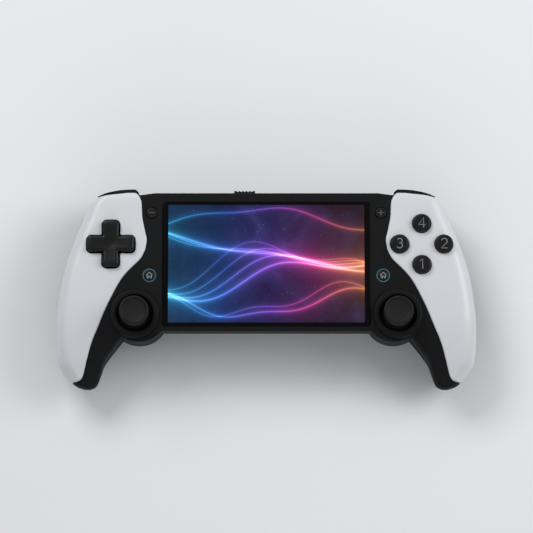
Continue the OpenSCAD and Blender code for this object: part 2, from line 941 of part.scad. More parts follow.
module dpad_pivot() {
  color(steel) translate([-pad_x, pad_y, dpad_pivot_z]) {
    rotate([0, 90, 0]) cylinder(h = 7.6, r = dpad_pin_r, center = true);
    rotate([90, 0, 0]) cylinder(h = 2 * (dpad_pocket_r + 1.6), r = dpad_pin_r, center = true);
  }
}

module dpad() {
  top = plate_z + dpad_h;
  dish = 60;
  color(rubber_black) translate([-pad_x, pad_y, 0]) difference() {
    union() {
      upright(dpad_flange_z, dpad_flange_z + flange_t) dpad_flange_plan();
      upright(dpad_flange_z, top) dpad_plan();
    }
    translate([0, 0, top + dish - 0.8]) sphere(dish);
    translate([0, 0, dpad_flange_z - 1])
      cylinder(h = dpad_pivot_z + 3.4 - dpad_flange_z + 1, r = dpad_pocket_r);
    translate([0, 0, dpad_pivot_z]) rotate([90, 0, 0])
      cylinder(h = 2 * (dpad_pocket_r + 1.8), r = dpad_pin_r + pin_gap, center = true);
  }
}

// Round button with a flange under the wall and a softly rounded top
module round_button(r, low, flange_low, top, flange_r, stem_r) {
  edge = 0.9;
  rotate_extrude() {
    translate([0, flange_low]) square([flange_r, flange_t]);
    translate([0, flange_low]) square([r, top - edge - flange_low]);
    translate([0, flange_low]) square([r - edge, top - flange_low]);
    intersection() {
      translate([r - edge, top - edge]) circle(edge);
      translate([0, flange_low]) square(far);
    }
    if (low < flange_low) translate([0, low]) square([stem_r, flange_low - low]);
  }
}

module face_button(i) {
  color(rubber_black) at_button(i) {
    round_button(button_r, button_flange_z, button_flange_z, plate_z + button_h, button_r, 0);
    upright(button_flange_z, button_flange_z + flange_t) intersection() {
      circle(button_r + button_ear);
      translate([-far - button_ear_from, -far / 2]) square(far);
    }
  }
}

// Small button in the black face, with a stem down to its switch
module small_button(side, x, y, rise) {
  flange_low = face_ceiling_z - 2 * seam - flange_t;
  stem_low = small_switch_top + small_travel + seam;
  color(black) on_side(side) translate([x, y, 0])
    round_button(small_r, stem_low, flange_low, face_z + rise, small_r + small_flange, small_stem_r);
}

module home_ring(side) {
  color("#9fdcf2") on_side(side) translate([home_x, home_y, 0])
    upright(face_z - light_depth + seam, face_z) difference() {
      circle(light_r);
      circle(small_r + play / 2);
    }
}

module menu_switches() {
  color(steel) both_sides() for (p = [[menu_x, menu_y], [home_x, home_y]])
    translate([p[0], p[1], board_top + seam + small_switch_t / 2])
      cube([4, 4, small_switch_t], center = true);
}

// Children at the pivot of a stick
module at_stick(side) {
  on_side(side) translate([stick_x, stick_y, stick_pivot]) children();
}

module stick_board(side) {
  color(board_green) at_stick(side) translate([0, 0, stick_board_z - stick_pivot])
    linear_extrude(board_t) hull() {
      circle(stick_board_r);
      for (p = stick_posts) translate(p) circle(stick_post_r + 1);
    }
}

module stick_ring(side) {
  top = face_z + ring_h;
  low = face_z + seam;
  sleeve = ring_r - ring_lip;
  color(black) on_side(side) translate([stick_x, stick_y, 0]) rotate_extrude() polygon([
    [well_r, face_z - wall], [well_r, top - 0.9], [well_r + 0.9, top], [ring_r - 1.2, top],
    [ring_r - 0.3, top - 0.9], [ring_r, low], [sleeve, low], [sleeve, face_z - wall]
  ]);
}

module stick_housing(side) {
  color("#34363a") at_stick(side) difference() {
    intersection() {
      translate([-housing_half, -housing_half, housing_floor])
        cube([2 * housing_half, 2 * housing_half, housing_top - housing_floor]);
      translate([0, 0, housing_floor]) cylinder(h = far, r = housing_r);
    }
    translate([0, 0, housing_floor + 1]) cylinder(h = far, r = cup_r);
    rotate([0, 90, 0]) cylinder(h = far, r = trunnion_r + pin_gap, center = true);
  }
}

module stick_rocker(side) {
  color("#8d9095") at_stick(side) difference() {
    union() {
      cylinder(h = 2 * rocker_half, r = rocker_r, center = true);
      rotate([0, 90, 0]) cylinder(h = 2 * housing_half - 4 * seam, r = trunnion_r, center = true);
    }
    cylinder(h = far, r = rocker_hole, center = true);
    rotate([90, 0, 0]) cylinder(h = far, r = gimbal_pin_r + pin_gap, center = true);
  }
}

module stick_gimbal(side) {
  color("#c8cacd") at_stick(side) difference() {
    union() {
      rotate([90, 0, 0]) cylinder(h = 8.4, r = hub_r, center = true);
      rotate([90, 0, 0]) cylinder(h = 2 * rocker_r - 4 * seam, r = gimbal_pin_r, center = true);
    }
    cylinder(h = far, r = shaft_r + pin_gap, center = true);
  }
}

module stick_shaft(side) {
  color(steel) at_stick(side) translate([0, 0, stick_shaft_low])
    cylinder(h = cap_z - cap_t + stick_shaft_bite - stick_shaft_low, r = shaft_r);
}

module stick_cap(side) {
  disc_z = cap_z - cap_t;
  lip = 1.2;
  color(rubber_black) at_stick(side) rotate_extrude() intersection() {
    translate([0, -far]) square(2 * far);
    difference() {
      union() {
        translate([0, disc_z]) square([cap_r - lip, cap_t]);
        translate([0, disc_z + lip]) square([cap_r, cap_t - 2 * lip]);
        for (z = [disc_z + lip, cap_z - lip]) translate([cap_r - lip, z]) circle(lip);
        translate([0, dome_r - dome_t / 2]) square([neck_r, disc_z - dome_r + dome_t]);
        intersection() {
          difference() {
            circle(dome_r);
            circle(dome_r - dome_t);
          }
          polygon([[0, 0], [2 * dome_r * sin(dome_angle), 2 * dome_r * cos(dome_angle)], [0, 2 * dome_r]]);
        }
      }
      translate([0, cap_z + dish_r - dish_depth]) circle(dish_r);
      translate([-far, 0]) square([far + shaft_r + pin_gap, disc_z + stick_cap_bore]);
    }
  }
}

module shoulder_button(side) {
  top = grip_top + shoulder_proud;
  color(black) on_side(side) {
    intersection() {
      upright(shoulder_low, shoulder_high) shoulder_plan();
      across(2 * far) hull() {
        for (z = [shoulder_low + shoulder_round, shoulder_high - shoulder_round])
          translate([top - shoulder_round, z]) circle(shoulder_round);
        translate([shoulder_back - 1, shoulder_low]) square([1, shoulder_high - shoulder_low]);
      }
    }
    upright(shoulder_low + shoulder_flange, shoulder_high - shoulder_flange) shoulder_flange_plan();
  }
}

// Flange that keeps the right shoulder button behind the wall, grown by a gap
module shoulder_flange_plan(gap = 0) {
  offset(delta = gap) translate([shoulder_in - shoulder_flange, shoulder_back])
    square([shoulder_w + 2 * shoulder_flange, shoulder_flange_d]);
}

// Children along the axis of the right trigger
module trigger_axis() {
  translate([trigger_in + trigger_w / 2, trigger_y, trigger_z]) rotate([0, 90, 0]) children();
}

module trigger(side) {
  lever = concat(curve(trigger_outer, 4), curve(trigger_inner, 3));
  color(black) on_side(side) difference() {
    union() {
      translate([trigger_in, 0, 0]) rotate([90, 0, 90]) linear_extrude(trigger_w) polygon(concat(
        [for (p = lever) [trigger_y + p[0], trigger_z + p[1]]],
        [[trigger_y, trigger_lever_low], [trigger_y, trigger_top]]
      ));
      trigger_axis() cylinder(h = trigger_w, r = trigger_boss_r, center = true);
    }
    trigger_axis() cylinder(h = far, r = pin_r + pin_gap, center = true);
  }
}

module trigger_pins() {
  color(steel) both_sides() trigger_axis()
    cylinder(h = trigger_w + 2 * play + 2 * ear_t - 2 * seam, r = pin_r, center = true);
}

module power_slider() {
  color(black) translate([slider_x, body_top, slider_z]) {
    difference() {
      translate([-slider_w / 2, seam, -slider_half]) cube([slider_w, slider_proud - seam, 2 * slider_half]);
      for (i = [0 : slider_ridges]) translate([(i - slider_ridges / 2) * slider_pitch, slider_proud, 0])
        cylinder(h = far, r = 0.5, center = true);
    }
    translate([-slider_neck / 2, -wall - 3 * seam, 1 - slider_half])
      cube([slider_neck, wall + 5 * seam, 2 * slider_half - 2]);
    translate([-slider_w / 2, -wall - 9 * seam, 0.2 - slider_half])
      cube([slider_w, 7 * seam, 2 * slider_half - 0.4]);
  }
}

module power_switch() {
  color(steel) translate([slider_x - slider_w / 2, body_top - wall - 11 * seam - 3.4, board_top + seam])
    cube([slider_w, 3.4, 3.3]);
}

module speaker(side) {
  color("#2f3135") on_side(side) translate([speaker_x, speaker_y, speaker_z]) difference() {
    translate([0, 0, speaker_size[2] / 2]) cube(speaker_size, center = true);
    translate([0, 0, -4]) sphere(r = 6);
  }
}

module usb_socket() {
  depth = 7.2;
  color(steel) translate([usb_x, body_top - 2 * seam, usb_z]) rotate([90, 0, 0]) {
    difference() {
      upright(0, depth) rounded_rect(usb_w, usb_h, usb_h / 2 - seam);
      upright(-1, depth - 1) rounded_rect(usb_w - 0.6, usb_h - 0.6, usb_h / 2 - 0.4);
    }
    upright(0.6, depth) square([6.7, 0.7], center = true);
  }
}

module headphone_socket() {
  color("#222326") difference() {
    union() {
      translate([jack_x - jack_w / 2, jack_back, jack_z - jack_half])
        cube([jack_w, body_top - wall - 4 * seam - jack_back, 2 * jack_half]);
      translate([jack_x, body_top, jack_z]) rotate([90, 0, 0]) cylinder(h = wall + 1, r = jack_nose_r);
    }
    translate([jack_x, body_top + 1, jack_z]) rotate([90, 0, 0]) cylinder(h = jack_depth + 1, r = jack_r);
  }
}

module card_reader() {
  mouth = body_top - wall - 2 * seam;
  color(steel) translate([card_x, mouth, board_top + seam + card_t / 2]) difference() {
    translate([-card_w / 2, -card_w, -card_t / 2]) cube([card_w, card_w, card_t]);
    translate([-card_slot_w / 2, 1 - card_w, -card_slot_t / 2]) cube([card_slot_w, far, card_slot_t]);
  }
}

module case_screws() {
  color(steel) both_sides() for (p = screws) translate([p[0], p[1], screw_seat(p)]) {
    translate([0, 0, -screw_head_t]) cylinder(h = screw_head_t, r = screw_head_r);
    cylinder(h = screw_length(p), r = screw_r);
  }
}

front_shell();
rear_shell();
grip_plate(-1);  // left_grip_plate
grip_plate(1);  // right_grip_plate
screen_lens();
lens_gasket();
display_panel();
backlight();
mid_frame();
main_board();
shield_can();
battery();
control_board(-1);  // left_control_board
control_board(1);  // right_control_board
dpad_membrane();
button_membrane();
dpad_post();
dpad_pivot();
dpad();
face_button(0);  // button_right
face_button(1);  // button_top
face_button(2);  // button_left
face_button(3);  // button_bottom
small_button(-1, menu_x, menu_y, menu_rise);  // minus_button
small_button(1, menu_x, menu_y, menu_rise);  // plus_button
small_button(-1, home_x, home_y, home_rise);  // left_home_button
small_button(1, home_x, home_y, home_rise);  // right_home_button
home_ring(-1);  // left_home_ring
home_ring(1);  // right_home_ring
menu_switches();
stick_ring(-1);  // left_stick_ring
stick_board(-1);  // left_stick_board
stick_housing(-1);  // left_stick_housing
stick_rocker(-1);  // left_stick_rocker
stick_gimbal(-1);  // left_stick_gimbal
stick_shaft(-1);  // left_stick_shaft
stick_cap(-1);  // left_stick_cap
stick_ring(1);  // right_stick_ring
stick_board(1);  // right_stick_board
stick_housing(1);  // right_stick_housing
stick_rocker(1);  // right_stick_rocker
stick_gimbal(1);  // right_stick_gimbal
stick_shaft(1);  // right_stick_shaft
stick_cap(1);  // right_stick_cap
shoulder_button(-1);  // left_shoulder_button
shoulder_button(1);  // right_shoulder_button
shoulder_switches();
trigger(-1);  // left_trigger
trigger(1);  // right_trigger
trigger_pins();
power_slider();
power_switch();
speaker(-1);  // left_speaker
speaker(1);  // right_speaker
usb_socket();
headphone_socket();
card_reader();
case_screws();
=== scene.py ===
import math

import bmesh
import bpy
from mathutils import Matrix, Vector


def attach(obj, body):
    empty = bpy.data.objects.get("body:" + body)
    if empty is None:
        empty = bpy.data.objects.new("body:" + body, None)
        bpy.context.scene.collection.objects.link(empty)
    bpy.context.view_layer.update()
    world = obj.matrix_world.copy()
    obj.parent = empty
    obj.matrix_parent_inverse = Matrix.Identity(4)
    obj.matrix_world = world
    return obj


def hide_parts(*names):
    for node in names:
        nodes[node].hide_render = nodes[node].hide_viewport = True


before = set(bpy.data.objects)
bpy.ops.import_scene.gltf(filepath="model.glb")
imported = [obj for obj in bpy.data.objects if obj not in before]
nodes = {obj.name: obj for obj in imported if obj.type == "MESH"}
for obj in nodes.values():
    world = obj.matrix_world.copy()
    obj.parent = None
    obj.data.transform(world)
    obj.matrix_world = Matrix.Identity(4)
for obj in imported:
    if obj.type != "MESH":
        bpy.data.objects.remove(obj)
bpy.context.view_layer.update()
MM = 0.001

# Sizes of the console in millimetres, as in the CAD model
FACE_Z = 38.0
PLATE_PROUD = 1.0
PLATE_Z = FACE_Z + PLATE_PROUD
PLATE_T = 2.0
PART_Z = 27.0
PART_TIP_Z = 17.0
SEAM = 0.1
GRIP_REACH = 115.7
GRIP_TOP = 52.3
GRIP_TIP = -55.0
STICK = Vector((72.2, -15.4, 27.0))
SHOULDER_IN, SHOULDER_W, SHOULDER_BACK, SHOULDER_TOP = 70.6, 22.6, 46.5, 54.9
SHOULDER_FALL, SHOULDER_CORNER, SHOULDER_TRAVEL = 4.4, 2.0, 0.8
SHOULDER_FLANGE, SHOULDER_FLANGE_D = 1.0, 1.1
SHOULDER_HIGH = 35.6
SHOULDER_CURVE = [(0.44, 0.14), (0.80, 0.55), (1.0, 1.0)]
HOME = Vector((64.3, 5.9, 0.0))
MENU = Vector((63.2, 40.8, 0.0))
SMALL_R = 3.0
LIGHT_R = 3.75
PAD = Vector((85.6, 23.2, 0.0))

# Angles in degrees above which an edge stays sharp
PLATE_SHARP, SHELL_SHARP, KEPT_SHARP = 35.0, 32.0, 28.0
ROUND_SHARP, RING_SHARP, LENS_SHARP = 50.0, 30.0, 60.0

# Least lengths, and limits for welding points and merging flat faces
TINY, LEAST_SPAN = 1e-6, 1e-9
WELD, FLAT_WELD, FLAT_ANGLE = 1e-7, 1e-6, 0.0008


# Camera
def aim(obj, target):
    direction = Vector(target) - obj.location
    obj.rotation_euler = direction.to_track_quat("-Z", "Y").to_euler()


def add_camera():
    target = Vector((0.0001, 0.0108, FACE_Z * MM))
    elevation = math.radians(80.0)
    distance = 1.6
    pixels, pixel_size = 533, 0.00055
    view_width = pixels * pixel_size
    data = bpy.data.cameras.new("camera")
    data.sensor_width = 36.0
    data.lens = data.sensor_width * distance / view_width
    camera = bpy.data.objects.new("camera", data)
    camera.location = target + distance * Vector((0.0, -math.cos(elevation), math.sin(elevation)))
    aim(camera, target)
    bpy.context.scene.collection.objects.link(camera)
    bpy.context.scene.camera = camera


add_camera()


# Materials
def add_node(tree, kind, inputs=None, **settings):
    node = tree.nodes.new("ShaderNode" + kind)
    for key, value in settings.items():
        setattr(node, key, value)
    for key, value in (inputs or {}).items():
        if isinstance(value, bpy.types.NodeSocket):
            tree.links.new(value, node.inputs[key])
        else:
            node.inputs[key].default_value = value
    return node


def new_material(name):
    material = bpy.data.materials.new(name)
    material.use_nodes = True
    tree = material.node_tree
    tree.nodes.clear()
    output = add_node(tree, "OutputMaterial")
    shader = add_node(tree, "BsdfPrincipled")
    tree.links.new(shader.outputs["BSDF"], output.inputs["Surface"])
    return material, tree, shader


def ramp(tree, factor, stops):
    node = add_node(tree, "ValToRGB", {"Fac": factor})
    elements = node.color_ramp.elements
    while len(elements) < len(stops):
        elements.new(0.5)
    for element, (position, colour) in zip(elements, stops):
        element.position = position
        element.color = (*colour, 1.0)
    return node.outputs["Color"]


def remap(tree, value, low, high, start=0.0):
    node = add_node(tree, "MapRange", {"Value": value, "From Min": start, "To Min": low, "To Max": high})
    return node.outputs["Result"]


GLOSS_DRIFT = 0.07
SOFT_EDGE = 0.00025
GRAIN_DEPTH = 0.00006


def plastic(name, colour, rough, grain, grain_scale=2600.0, drift=0.06, specular=0.5, metal=0.0):
    """Moulded plastic, rubber or metal: cloudy colour, uneven gloss and a fine grain in the surface."""
    material, tree, shader = new_material(name)
    place = add_node(tree, "TexCoord").outputs["Object"]
    cloud = add_node(tree, "TexNoise", {"Vector": place, "Scale": 55.0, "Detail": 4.0, "Roughness": 0.55})
    noise = {"Vector": place, "Scale": grain_scale, "Detail": 3.0, "Roughness": 0.6}
    fine = add_node(tree, "TexNoise", noise).outputs["Fac"]
    dark = [c * (1.0 - drift) for c in colour]
    light = [min(c * (1.0 + drift), 1.0) for c in colour]
    tint = ramp(tree, cloud.outputs["Fac"], [(0.3, dark), (0.7, light)])
    gloss = remap(tree, fine, rough - GLOSS_DRIFT, rough + GLOSS_DRIFT)
    soft = add_node(tree, "Bevel", {"Radius": SOFT_EDGE}, samples=6).outputs["Normal"]
    bump = add_node(
        tree, "Bump", {"Height": fine, "Strength": grain, "Distance": GRAIN_DEPTH, "Normal": soft},
    )
    tree.links.new(tint, shader.inputs["Base Color"])
    tree.links.new(gloss, shader.inputs["Roughness"])
    tree.links.new(bump.outputs["Normal"], shader.inputs["Normal"])
    shader.inputs["Metallic"].default_value = metal
    shader.inputs["Specular IOR Level"].default_value = specular
    return material


BLACK = plastic("black_moulding", (0.0092, 0.0094, 0.0099), 0.46, 0.30, specular=0.07)
BLACK_REAR = plastic("black_rear_moulding", (0.0075, 0.0077, 0.0082), 0.55, 0.45, 1700.0, specular=0.06)
WHITE = plastic("white_moulding", (0.650, 0.658, 0.695), 0.36, 0.10, 2200.0, 0.015)
KEY = plastic("black_key", (0.0060, 0.0060, 0.0064), 0.36, 0.25, specular=0.24)
RUBBER = plastic("stick_rubber", (0.0065, 0.0065, 0.0068), 0.55, 0.55, 1900.0, specular=0.22)
STEEL = plastic("brushed_steel", (0.52, 0.53, 0.55), 0.34, 0.20, 900.0, 0.10, metal=1.0)
SCREW = plastic("blackened_steel", (0.045, 0.046, 0.050), 0.42, 0.20, 900.0, 0.10, metal=1.0)
BOARD = plastic("circuit_board", (0.015, 0.10, 0.045), 0.45, 0.20, 1200.0, 0.15)
INNER = plastic("inner_moulding", (0.06, 0.063, 0.068), 0.55, 0.30)
SILICONE = plastic("silicone", (0.12, 0.125, 0.14), 0.60, 0.30)
LEGEND = plastic("legend_ink", (0.20, 0.20, 0.205), 0.55, 0.10)
DIM_LEGEND = plastic("dim_legend_ink", (0.085, 0.085, 0.088), 0.55, 0.10)
ICON = plastic("icon_ink", (0.36, 0.38, 0.40), 0.50, 0.10)


# Mesh helpers: points are given in millimetres
def scaled(points):
    return [Vector(p) * MM for p in points]


def make_piece(name, points, faces, material, body, replaces, sharp):
    mesh = bpy.data.meshes.new(name)
    mesh.from_pydata(scaled(points), [], faces)
    piece = bpy.data.objects.new(name, mesh)
    bpy.context.scene.collection.objects.link(piece)
    tidy_normals(piece, sharp)
    dress(piece, material, body, replaces)


def dress(piece, material, body, replaces=()):
    piece.data.materials.clear()
    piece.data.materials.append(material)
    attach(piece, body)
    if replaces:
        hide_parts(*replaces)


def tidy_normals(piece, sharp):
    bm = bmesh.new()
    bm.from_mesh(piece.data)
    bmesh.ops.remove_doubles(bm, verts=bm.verts, dist=WELD)
    bmesh.ops.recalc_face_normals(bm, faces=bm.faces)
    bm.to_mesh(piece.data)
    bm.free()
    piece.data.shade_smooth()
    piece.data.set_sharp_from_angle(angle=math.radians(sharp))


def mirrored(points, side):
    return [(side * p[0], p[1], p[2]) for p in points]


def grid_faces(rows, columns, closed=False):
    """Quads between the rows of a grid, whose columns may close round."""
    last = columns if closed else columns - 1
    faces = []
    for i in range(rows - 1):
        for j in range(last):
            k = (j + 1) % columns
            faces.append((i * columns + j, i * columns + k, (i + 1) * columns + k, (i + 1) * columns + j))
    return faces


def lofted(rings):
    """Closed solid through rings with equal point counts."""
    columns = len(rings[0])
    points = [p for ring in rings for p in ring]
    faces = grid_faces(len(rings), columns, closed=True)
    faces.append(tuple(range(columns)))
    faces.append(tuple(range((len(rings) - 1) * columns, len(rings) * columns)))
    return points, faces


def turned(profile, centre, steps=96):
    """Lathe of a profile of radius and height about an upright axis; it closes where the radius is 0."""
    points, faces, rows = [], [], []
    for r, z in profile:
        if r < TINY:
            rows.append([len(points)] * steps)
            points.append((centre[0], centre[1], centre[2] + z))
        else:
            rows.append(list(range(len(points), len(points) + steps)))
            for k in range(steps):
                a = 2.0 * math.pi * k / steps
                points.append((centre[0] + r * math.cos(a), centre[1] + r * math.sin(a), centre[2] + z))
    for low, high in zip(rows, rows[1:]):
        for k in range(steps):
            n = (k + 1) % steps
            face = list(dict.fromkeys((low[k], low[n], high[n], high[k])))
            if len(face) > 2:
                faces.append(face)
    return points, faces


def arc(x, z, r, start, end, steps):
    """Points of an arc in a plane, between two angles in degrees."""
    angles = [math.radians(start + (end - start) * k / steps) for k in range(steps + 1)]
    return [(x + r * math.cos(a), z + r * math.sin(a)) for a in angles]


def sphere_line(r, start, end, steps):
    """Radius and height along a ball, between two angles in degrees from its top."""
    angles = [math.radians(start + (end - start) * k / steps) for k in range(steps + 1)]
    return [(r * math.sin(a), r * math.cos(a)) for a in angles]


def rounded_rect(w, h, r, steps=8):
    """Outline of a rectangle with round corners about its middle, anticlockwise."""
    x, y = w / 2.0 - r, h / 2.0 - r
    loop = arc(x, -y, r, -90.0, 0.0, steps) + arc(x, y, r, 0.0, 90.0, steps)
    return loop + arc(-x, y, r, 90.0, 180.0, steps) + arc(-x, -y, r, 180.0, 270.0, steps)


def smooth_curve(points, steps):
    """Smooth curve through all points, with some steps between two neighbours."""
    result = []
    last = len(points) - 1
    for i in range(last):
        a, b, c, d = (points[max(i - 1, 0)], points[i], points[i + 1], points[min(i + 2, last)])
        for s in range(steps):
            t = s / steps
            result.append(tuple(
                q + 0.5 * t * (r - p) + t * t * (p - 2.5 * q + 2.0 * r - 0.5 * u)
                + t ** 3 * (1.5 * (q - r) + 0.5 * (u - p))
                for p, q, r, u in zip(a, b, c, d)
            ))
    result.append(tuple(points[last]))
    return result


def cut(piece, tools, operation="DIFFERENCE"):
    """Booleans a piece with tool solids and removes the tools."""
    for tool in tools:
        modifier = piece.modifiers.new("cut", "BOOLEAN")
        modifier.operation = operation
        modifier.solver = "EXACT"
        modifier.object = tool
        bpy.context.view_layer.update()
        result = bpy.data.meshes.new_from_object(piece.evaluated_get(bpy.context.evaluated_depsgraph_get()))
        piece.modifiers.clear()
        piece.data = result
    for tool in tools:
        bpy.data.objects.remove(tool)


def solid(points, faces):
    """Loose solid for booleans."""
    mesh = bpy.data.meshes.new("tool")
    mesh.from_pydata(scaled(points), [], faces)
    bm = bmesh.new()
    bm.from_mesh(mesh)
    bmesh.ops.recalc_face_normals(bm, faces=bm.faces)
    bm.to_mesh(mesh)
    bm.free()
    tool = bpy.data.objects.new("tool", mesh)
    bpy.context.scene.collection.objects.link(tool)
    return tool


def joined(tools):
    """Puts solids that don't touch into one, so that they cut in one go."""
    bm = bmesh.new()
    for tool in tools:
        bm.from_mesh(tool.data)
        bpy.data.objects.remove(tool)
    mesh = bpy.data.meshes.new("tool")
    bm.to_mesh(mesh)
    bm.free()
    result = bpy.data.objects.new("tool", mesh)
    bpy.context.scene.collection.objects.link(result)
    return result


# Grips, as stations from the top edge to the tip:
# y, inner flank, outer flank in from the reach, back, fall of the face
STATIONS = [
    (GRIP_TOP, 71.0, 35.7, 22.0, 2.0),
    (GRIP_TOP - 1.5, 68.0, 23.4, 17.0, 0.5),
    (GRIP_TOP - 5.0, 64.0, 18.2, 11.0, 0.0),
    (38.0, 58.0, 14.5, 3.0, 0.0),
    (24.6, 57.0, 9.1, -1.6, 0.0),
    (9.0, 57.0, 4.1, 3.2, 0.0),
    (-10.0, 62.0, 0.9, 1.5, 0.6),
    (-25.0, 77.0, 0.0, -1.6, 2.4),
    (-39.4, 88.2, 0.8, 4.0, 6.5),
    (-46.4, 91.0, 3.8, 9.0, 10.0),
    (GRIP_TIP + 2.0, 93.5, 10.2, 14.5, 13.5),
    (GRIP_TIP, 96.5, 15.0, 17.0, 16.0),
]
# Inner edge of a white plate, from the shoulder to the tip
PLATE_EDGE = [
    (75.5, 55.5), (69.6, 48.8), (68.4, 37.9), (66.3, 27.8), (66.3, 23.4), (68.8, 16.0), (78.9, 5.0),
    (86.6, -9.0), (92.0, -21.4), (96.6, -32.8), (100.2, -45.8), (101.3, -49.0), (102.8, -50.8),
    (105.1, -51.6), (112.0, -52.2),
]
GRIP_FRONT_R = 8.0
GRIP_INNER_R = 5.0
GRIP_BACK_R = 16.0
GRIP_STEPS = 10
ROUND_SHARE = 0.95
RIM_R, RIM_SHARE, RIM_W_SHARE = 0.7, 0.2, 0.3
THIN_SHARE = 0.8
FLANK_LEAST = 0.2
FINE_POINTS, LINE_POINTS = 200, 56


def part_height(y):
    """Height of the parting line along the console."""
    if y > STICK.y:
        return PART_Z
    return PART_Z + (PART_TIP_Z - PART_Z) * (STICK.y - y) / (STICK.y - GRIP_TIP)


def grip_sections():
    return [
        (y, inner, GRIP_REACH - inset, max(back, 0.0), PLATE_Z - fall)
        for y, inner, inset, back, fall in smooth_curve(STATIONS, GRIP_STEPS)
    ]


def edge_radius(r, half):
    return min(r, ROUND_SHARE * half)


def plate_edge_at(y, edge):
    """Inner edge of a plate at y, and how far the edge leans there."""
    for (xa, ya), (xb, yb) in zip(edge, edge[1:]):
        if yb <= y <= ya:
            fall = max(ya - yb, TINY)
            t = (ya - y) / fall
            return xa + (xb - xa) * t, math.hypot(xb - xa, yb - ya) / fall
    return edge[-1][0], 1.0


def resampled(points, count):
    """Points at equal steps along a line of x and z."""
    lengths = [0.0]
    for a, b in zip(points, points[1:]):
        lengths.append(lengths[-1] + math.dist(a, b))
    result, i = [], 0
    for k in range(count):
        goal = lengths[-1] * k / (count - 1)
        while i < len(points) - 2 and lengths[i + 1] < goal:
            i += 1
        span = max(lengths[i + 1] - lengths[i], LEAST_SPAN)
        t = (goal - lengths[i]) / span
        result.append(tuple(a + (b - a) * t for a, b in zip(points[i], points[i + 1])))
    return result


def clipped_left(points, x_min):
    """The part of a line of x and z that lies right of x_min."""
    for i, (a, b) in enumerate(zip(points, points[1:])):
        if a[0] <= x_min < b[0]:
            t = (x_min - a[0]) / (b[0] - a[0])
            return [(x_min, a[1] + (b[1] - a[1]) * t)] + points[i + 1:]
    return None


def plate_ring(section, edge):
    """Closed outline of a grip plate at one section, from the inner edge over the top and back underneath."""
    y, inner, outer, back, front = section
    half = min(outer - inner, front - back) / 2.0
    r = edge_radius(GRIP_FRONT_R, half)
    low = part_height(y) + SEAM / 2.0
    top = [(inner, front)] + arc(outer - r, front - r, r, 90.0, 0.0, 24)
    if top[-1][1] > low + FLANK_LEAST:
        top.append((outer, low))
    start, lean = plate_edge_at(y, edge)
    line = clipped_left(top, start)
    if line is None:
        return None
    length = sum(math.dist(a, b) for a, b in zip(line, line[1:]))
    rim_r = min(RIM_R, RIM_SHARE * length)
    rim_w = min(rim_r * lean, RIM_W_SHARE * length)
    skip = int(FINE_POINTS * rim_w / length)
    line = resampled(resampled(line, FINE_POINTS)[skip:], LINE_POINTS)
    head = line[0]
    rim = [
        (head[0] - rim_w * math.sin(math.radians(a)), head[1] - rim_r + rim_r * math.cos(math.radians(a)))
        for a in range(90, 0, -15)
    ]
    thick = min(PLATE_T - SEAM, THIN_SHARE * r)
    wall = (head[0] - rim_w, head[1] - PLATE_T + SEAM)
    under = []
    for i, p in enumerate(line):
        a, b = line[max(i - 1, 0)], line[min(i + 1, len(line) - 1)]
        span = max(math.dist(a, b), LEAST_SPAN)
        under.append((p[0] + (b[1] - a[1]) / span * thick, p[1] - (b[0] - a[0]) / span * thick))
    ring = [wall] + rim + line + under[::-2]
    return [(x, y, z) for x, z in ring]


# Direction pad outline, about its own middle
DPAD_W = 25.8
DPAD_ARM = 9.1
DPAD_WAIST = 8.0
DPAD_TIP_R = 2.2
DPAD_GAP = 0.75
DPAD_NOTCH_R, DPAD_HOLE_NOTCH_R = 0.6, 1.8
CORNER_STEPS = 6


def dpad_outline(grow, notch_r=DPAD_NOTCH_R):
    """Cross with flaring arms and rounded corners, anticlockwise from the right arm."""
    reach, arm = DPAD_W / 2.0, DPAD_ARM / 2.0
    notch = DPAD_WAIST / 2.0 / (1.0 - (DPAD_ARM - DPAD_WAIST) / 2.0 / reach)
    corners = [((notch, -notch), notch_r), ((reach, -arm), DPAD_TIP_R), ((reach, arm), DPAD_TIP_R)]
    loop = []
    for quarter in range(4):
        c, s = math.cos(math.pi / 2.0 * quarter), math.sin(math.pi / 2.0 * quarter)
        loop += [(Vector((x * c - y * s, x * s + y * c)), r) for (x, y), r in corners]
    return [p for i in range(len(loop)) for p in rounded_corner(loop, i, CORNER_STEPS, grow)]


def rounded_corner(loop, i, steps, grow):
    """Arc in place of one corner of an anticlockwise loop, grown outwards."""
    (before, _), (corner, r), (after, _) = loop[i - 1], loop[i], loop[(i + 1) % len(loop)]
    into, out = (corner - before).normalized(), (after - corner).normalized()
    turn = math.atan2(into.x * out.y - into.y * out.x, into.dot(out))
    sign = 1.0 if turn > 0.0 else -1.0
    back = r * math.tan(abs(turn) / 2.0)
    start = corner - into * back
    centre = start + Vector((-into.y, into.x)) * r * sign
    first = math.atan2((start - centre).y, (start - centre).x)
    angles = [first + turn * k / steps for k in range(steps + 1)]
    return [centre + Vector((math.cos(a), math.sin(a))) * (r + grow * sign) for a in angles]


# White grip plates
BUTTON_R = 5.0
BUTTON_ACROSS, BUTTON_UPRIGHT = 12.2, 11.5
PLAY = 0.3
HOLE_FLARE, HOLE_DEPTH, HOLE_OVER = 0.3, 9.0, 2.0
HOLE_STEPS = 64
# Space of a shoulder button in a plate, as its low and its high corner
SHOULDER_SLOT = (
    (SHOULDER_IN - PLAY, 45.4, 20.0),
    (SHOULDER_IN + SHOULDER_W + PLAY, 60.0, SHOULDER_HIGH + PLAY),
)


def flare_levels(top):
    """Growth and height of a hole's wall that rounds over at the top."""
    levels = [(0.0, top - HOLE_DEPTH), (0.0, top - HOLE_FLARE)]
    for k in range(1, 7):
        a = math.radians(15.0 * k)
        levels.append((HOLE_FLARE * (1.0 - math.cos(a)), top - HOLE_FLARE + HOLE_FLARE * math.sin(a)))
    levels.append((HOLE_FLARE, top + HOLE_OVER))
    return levels


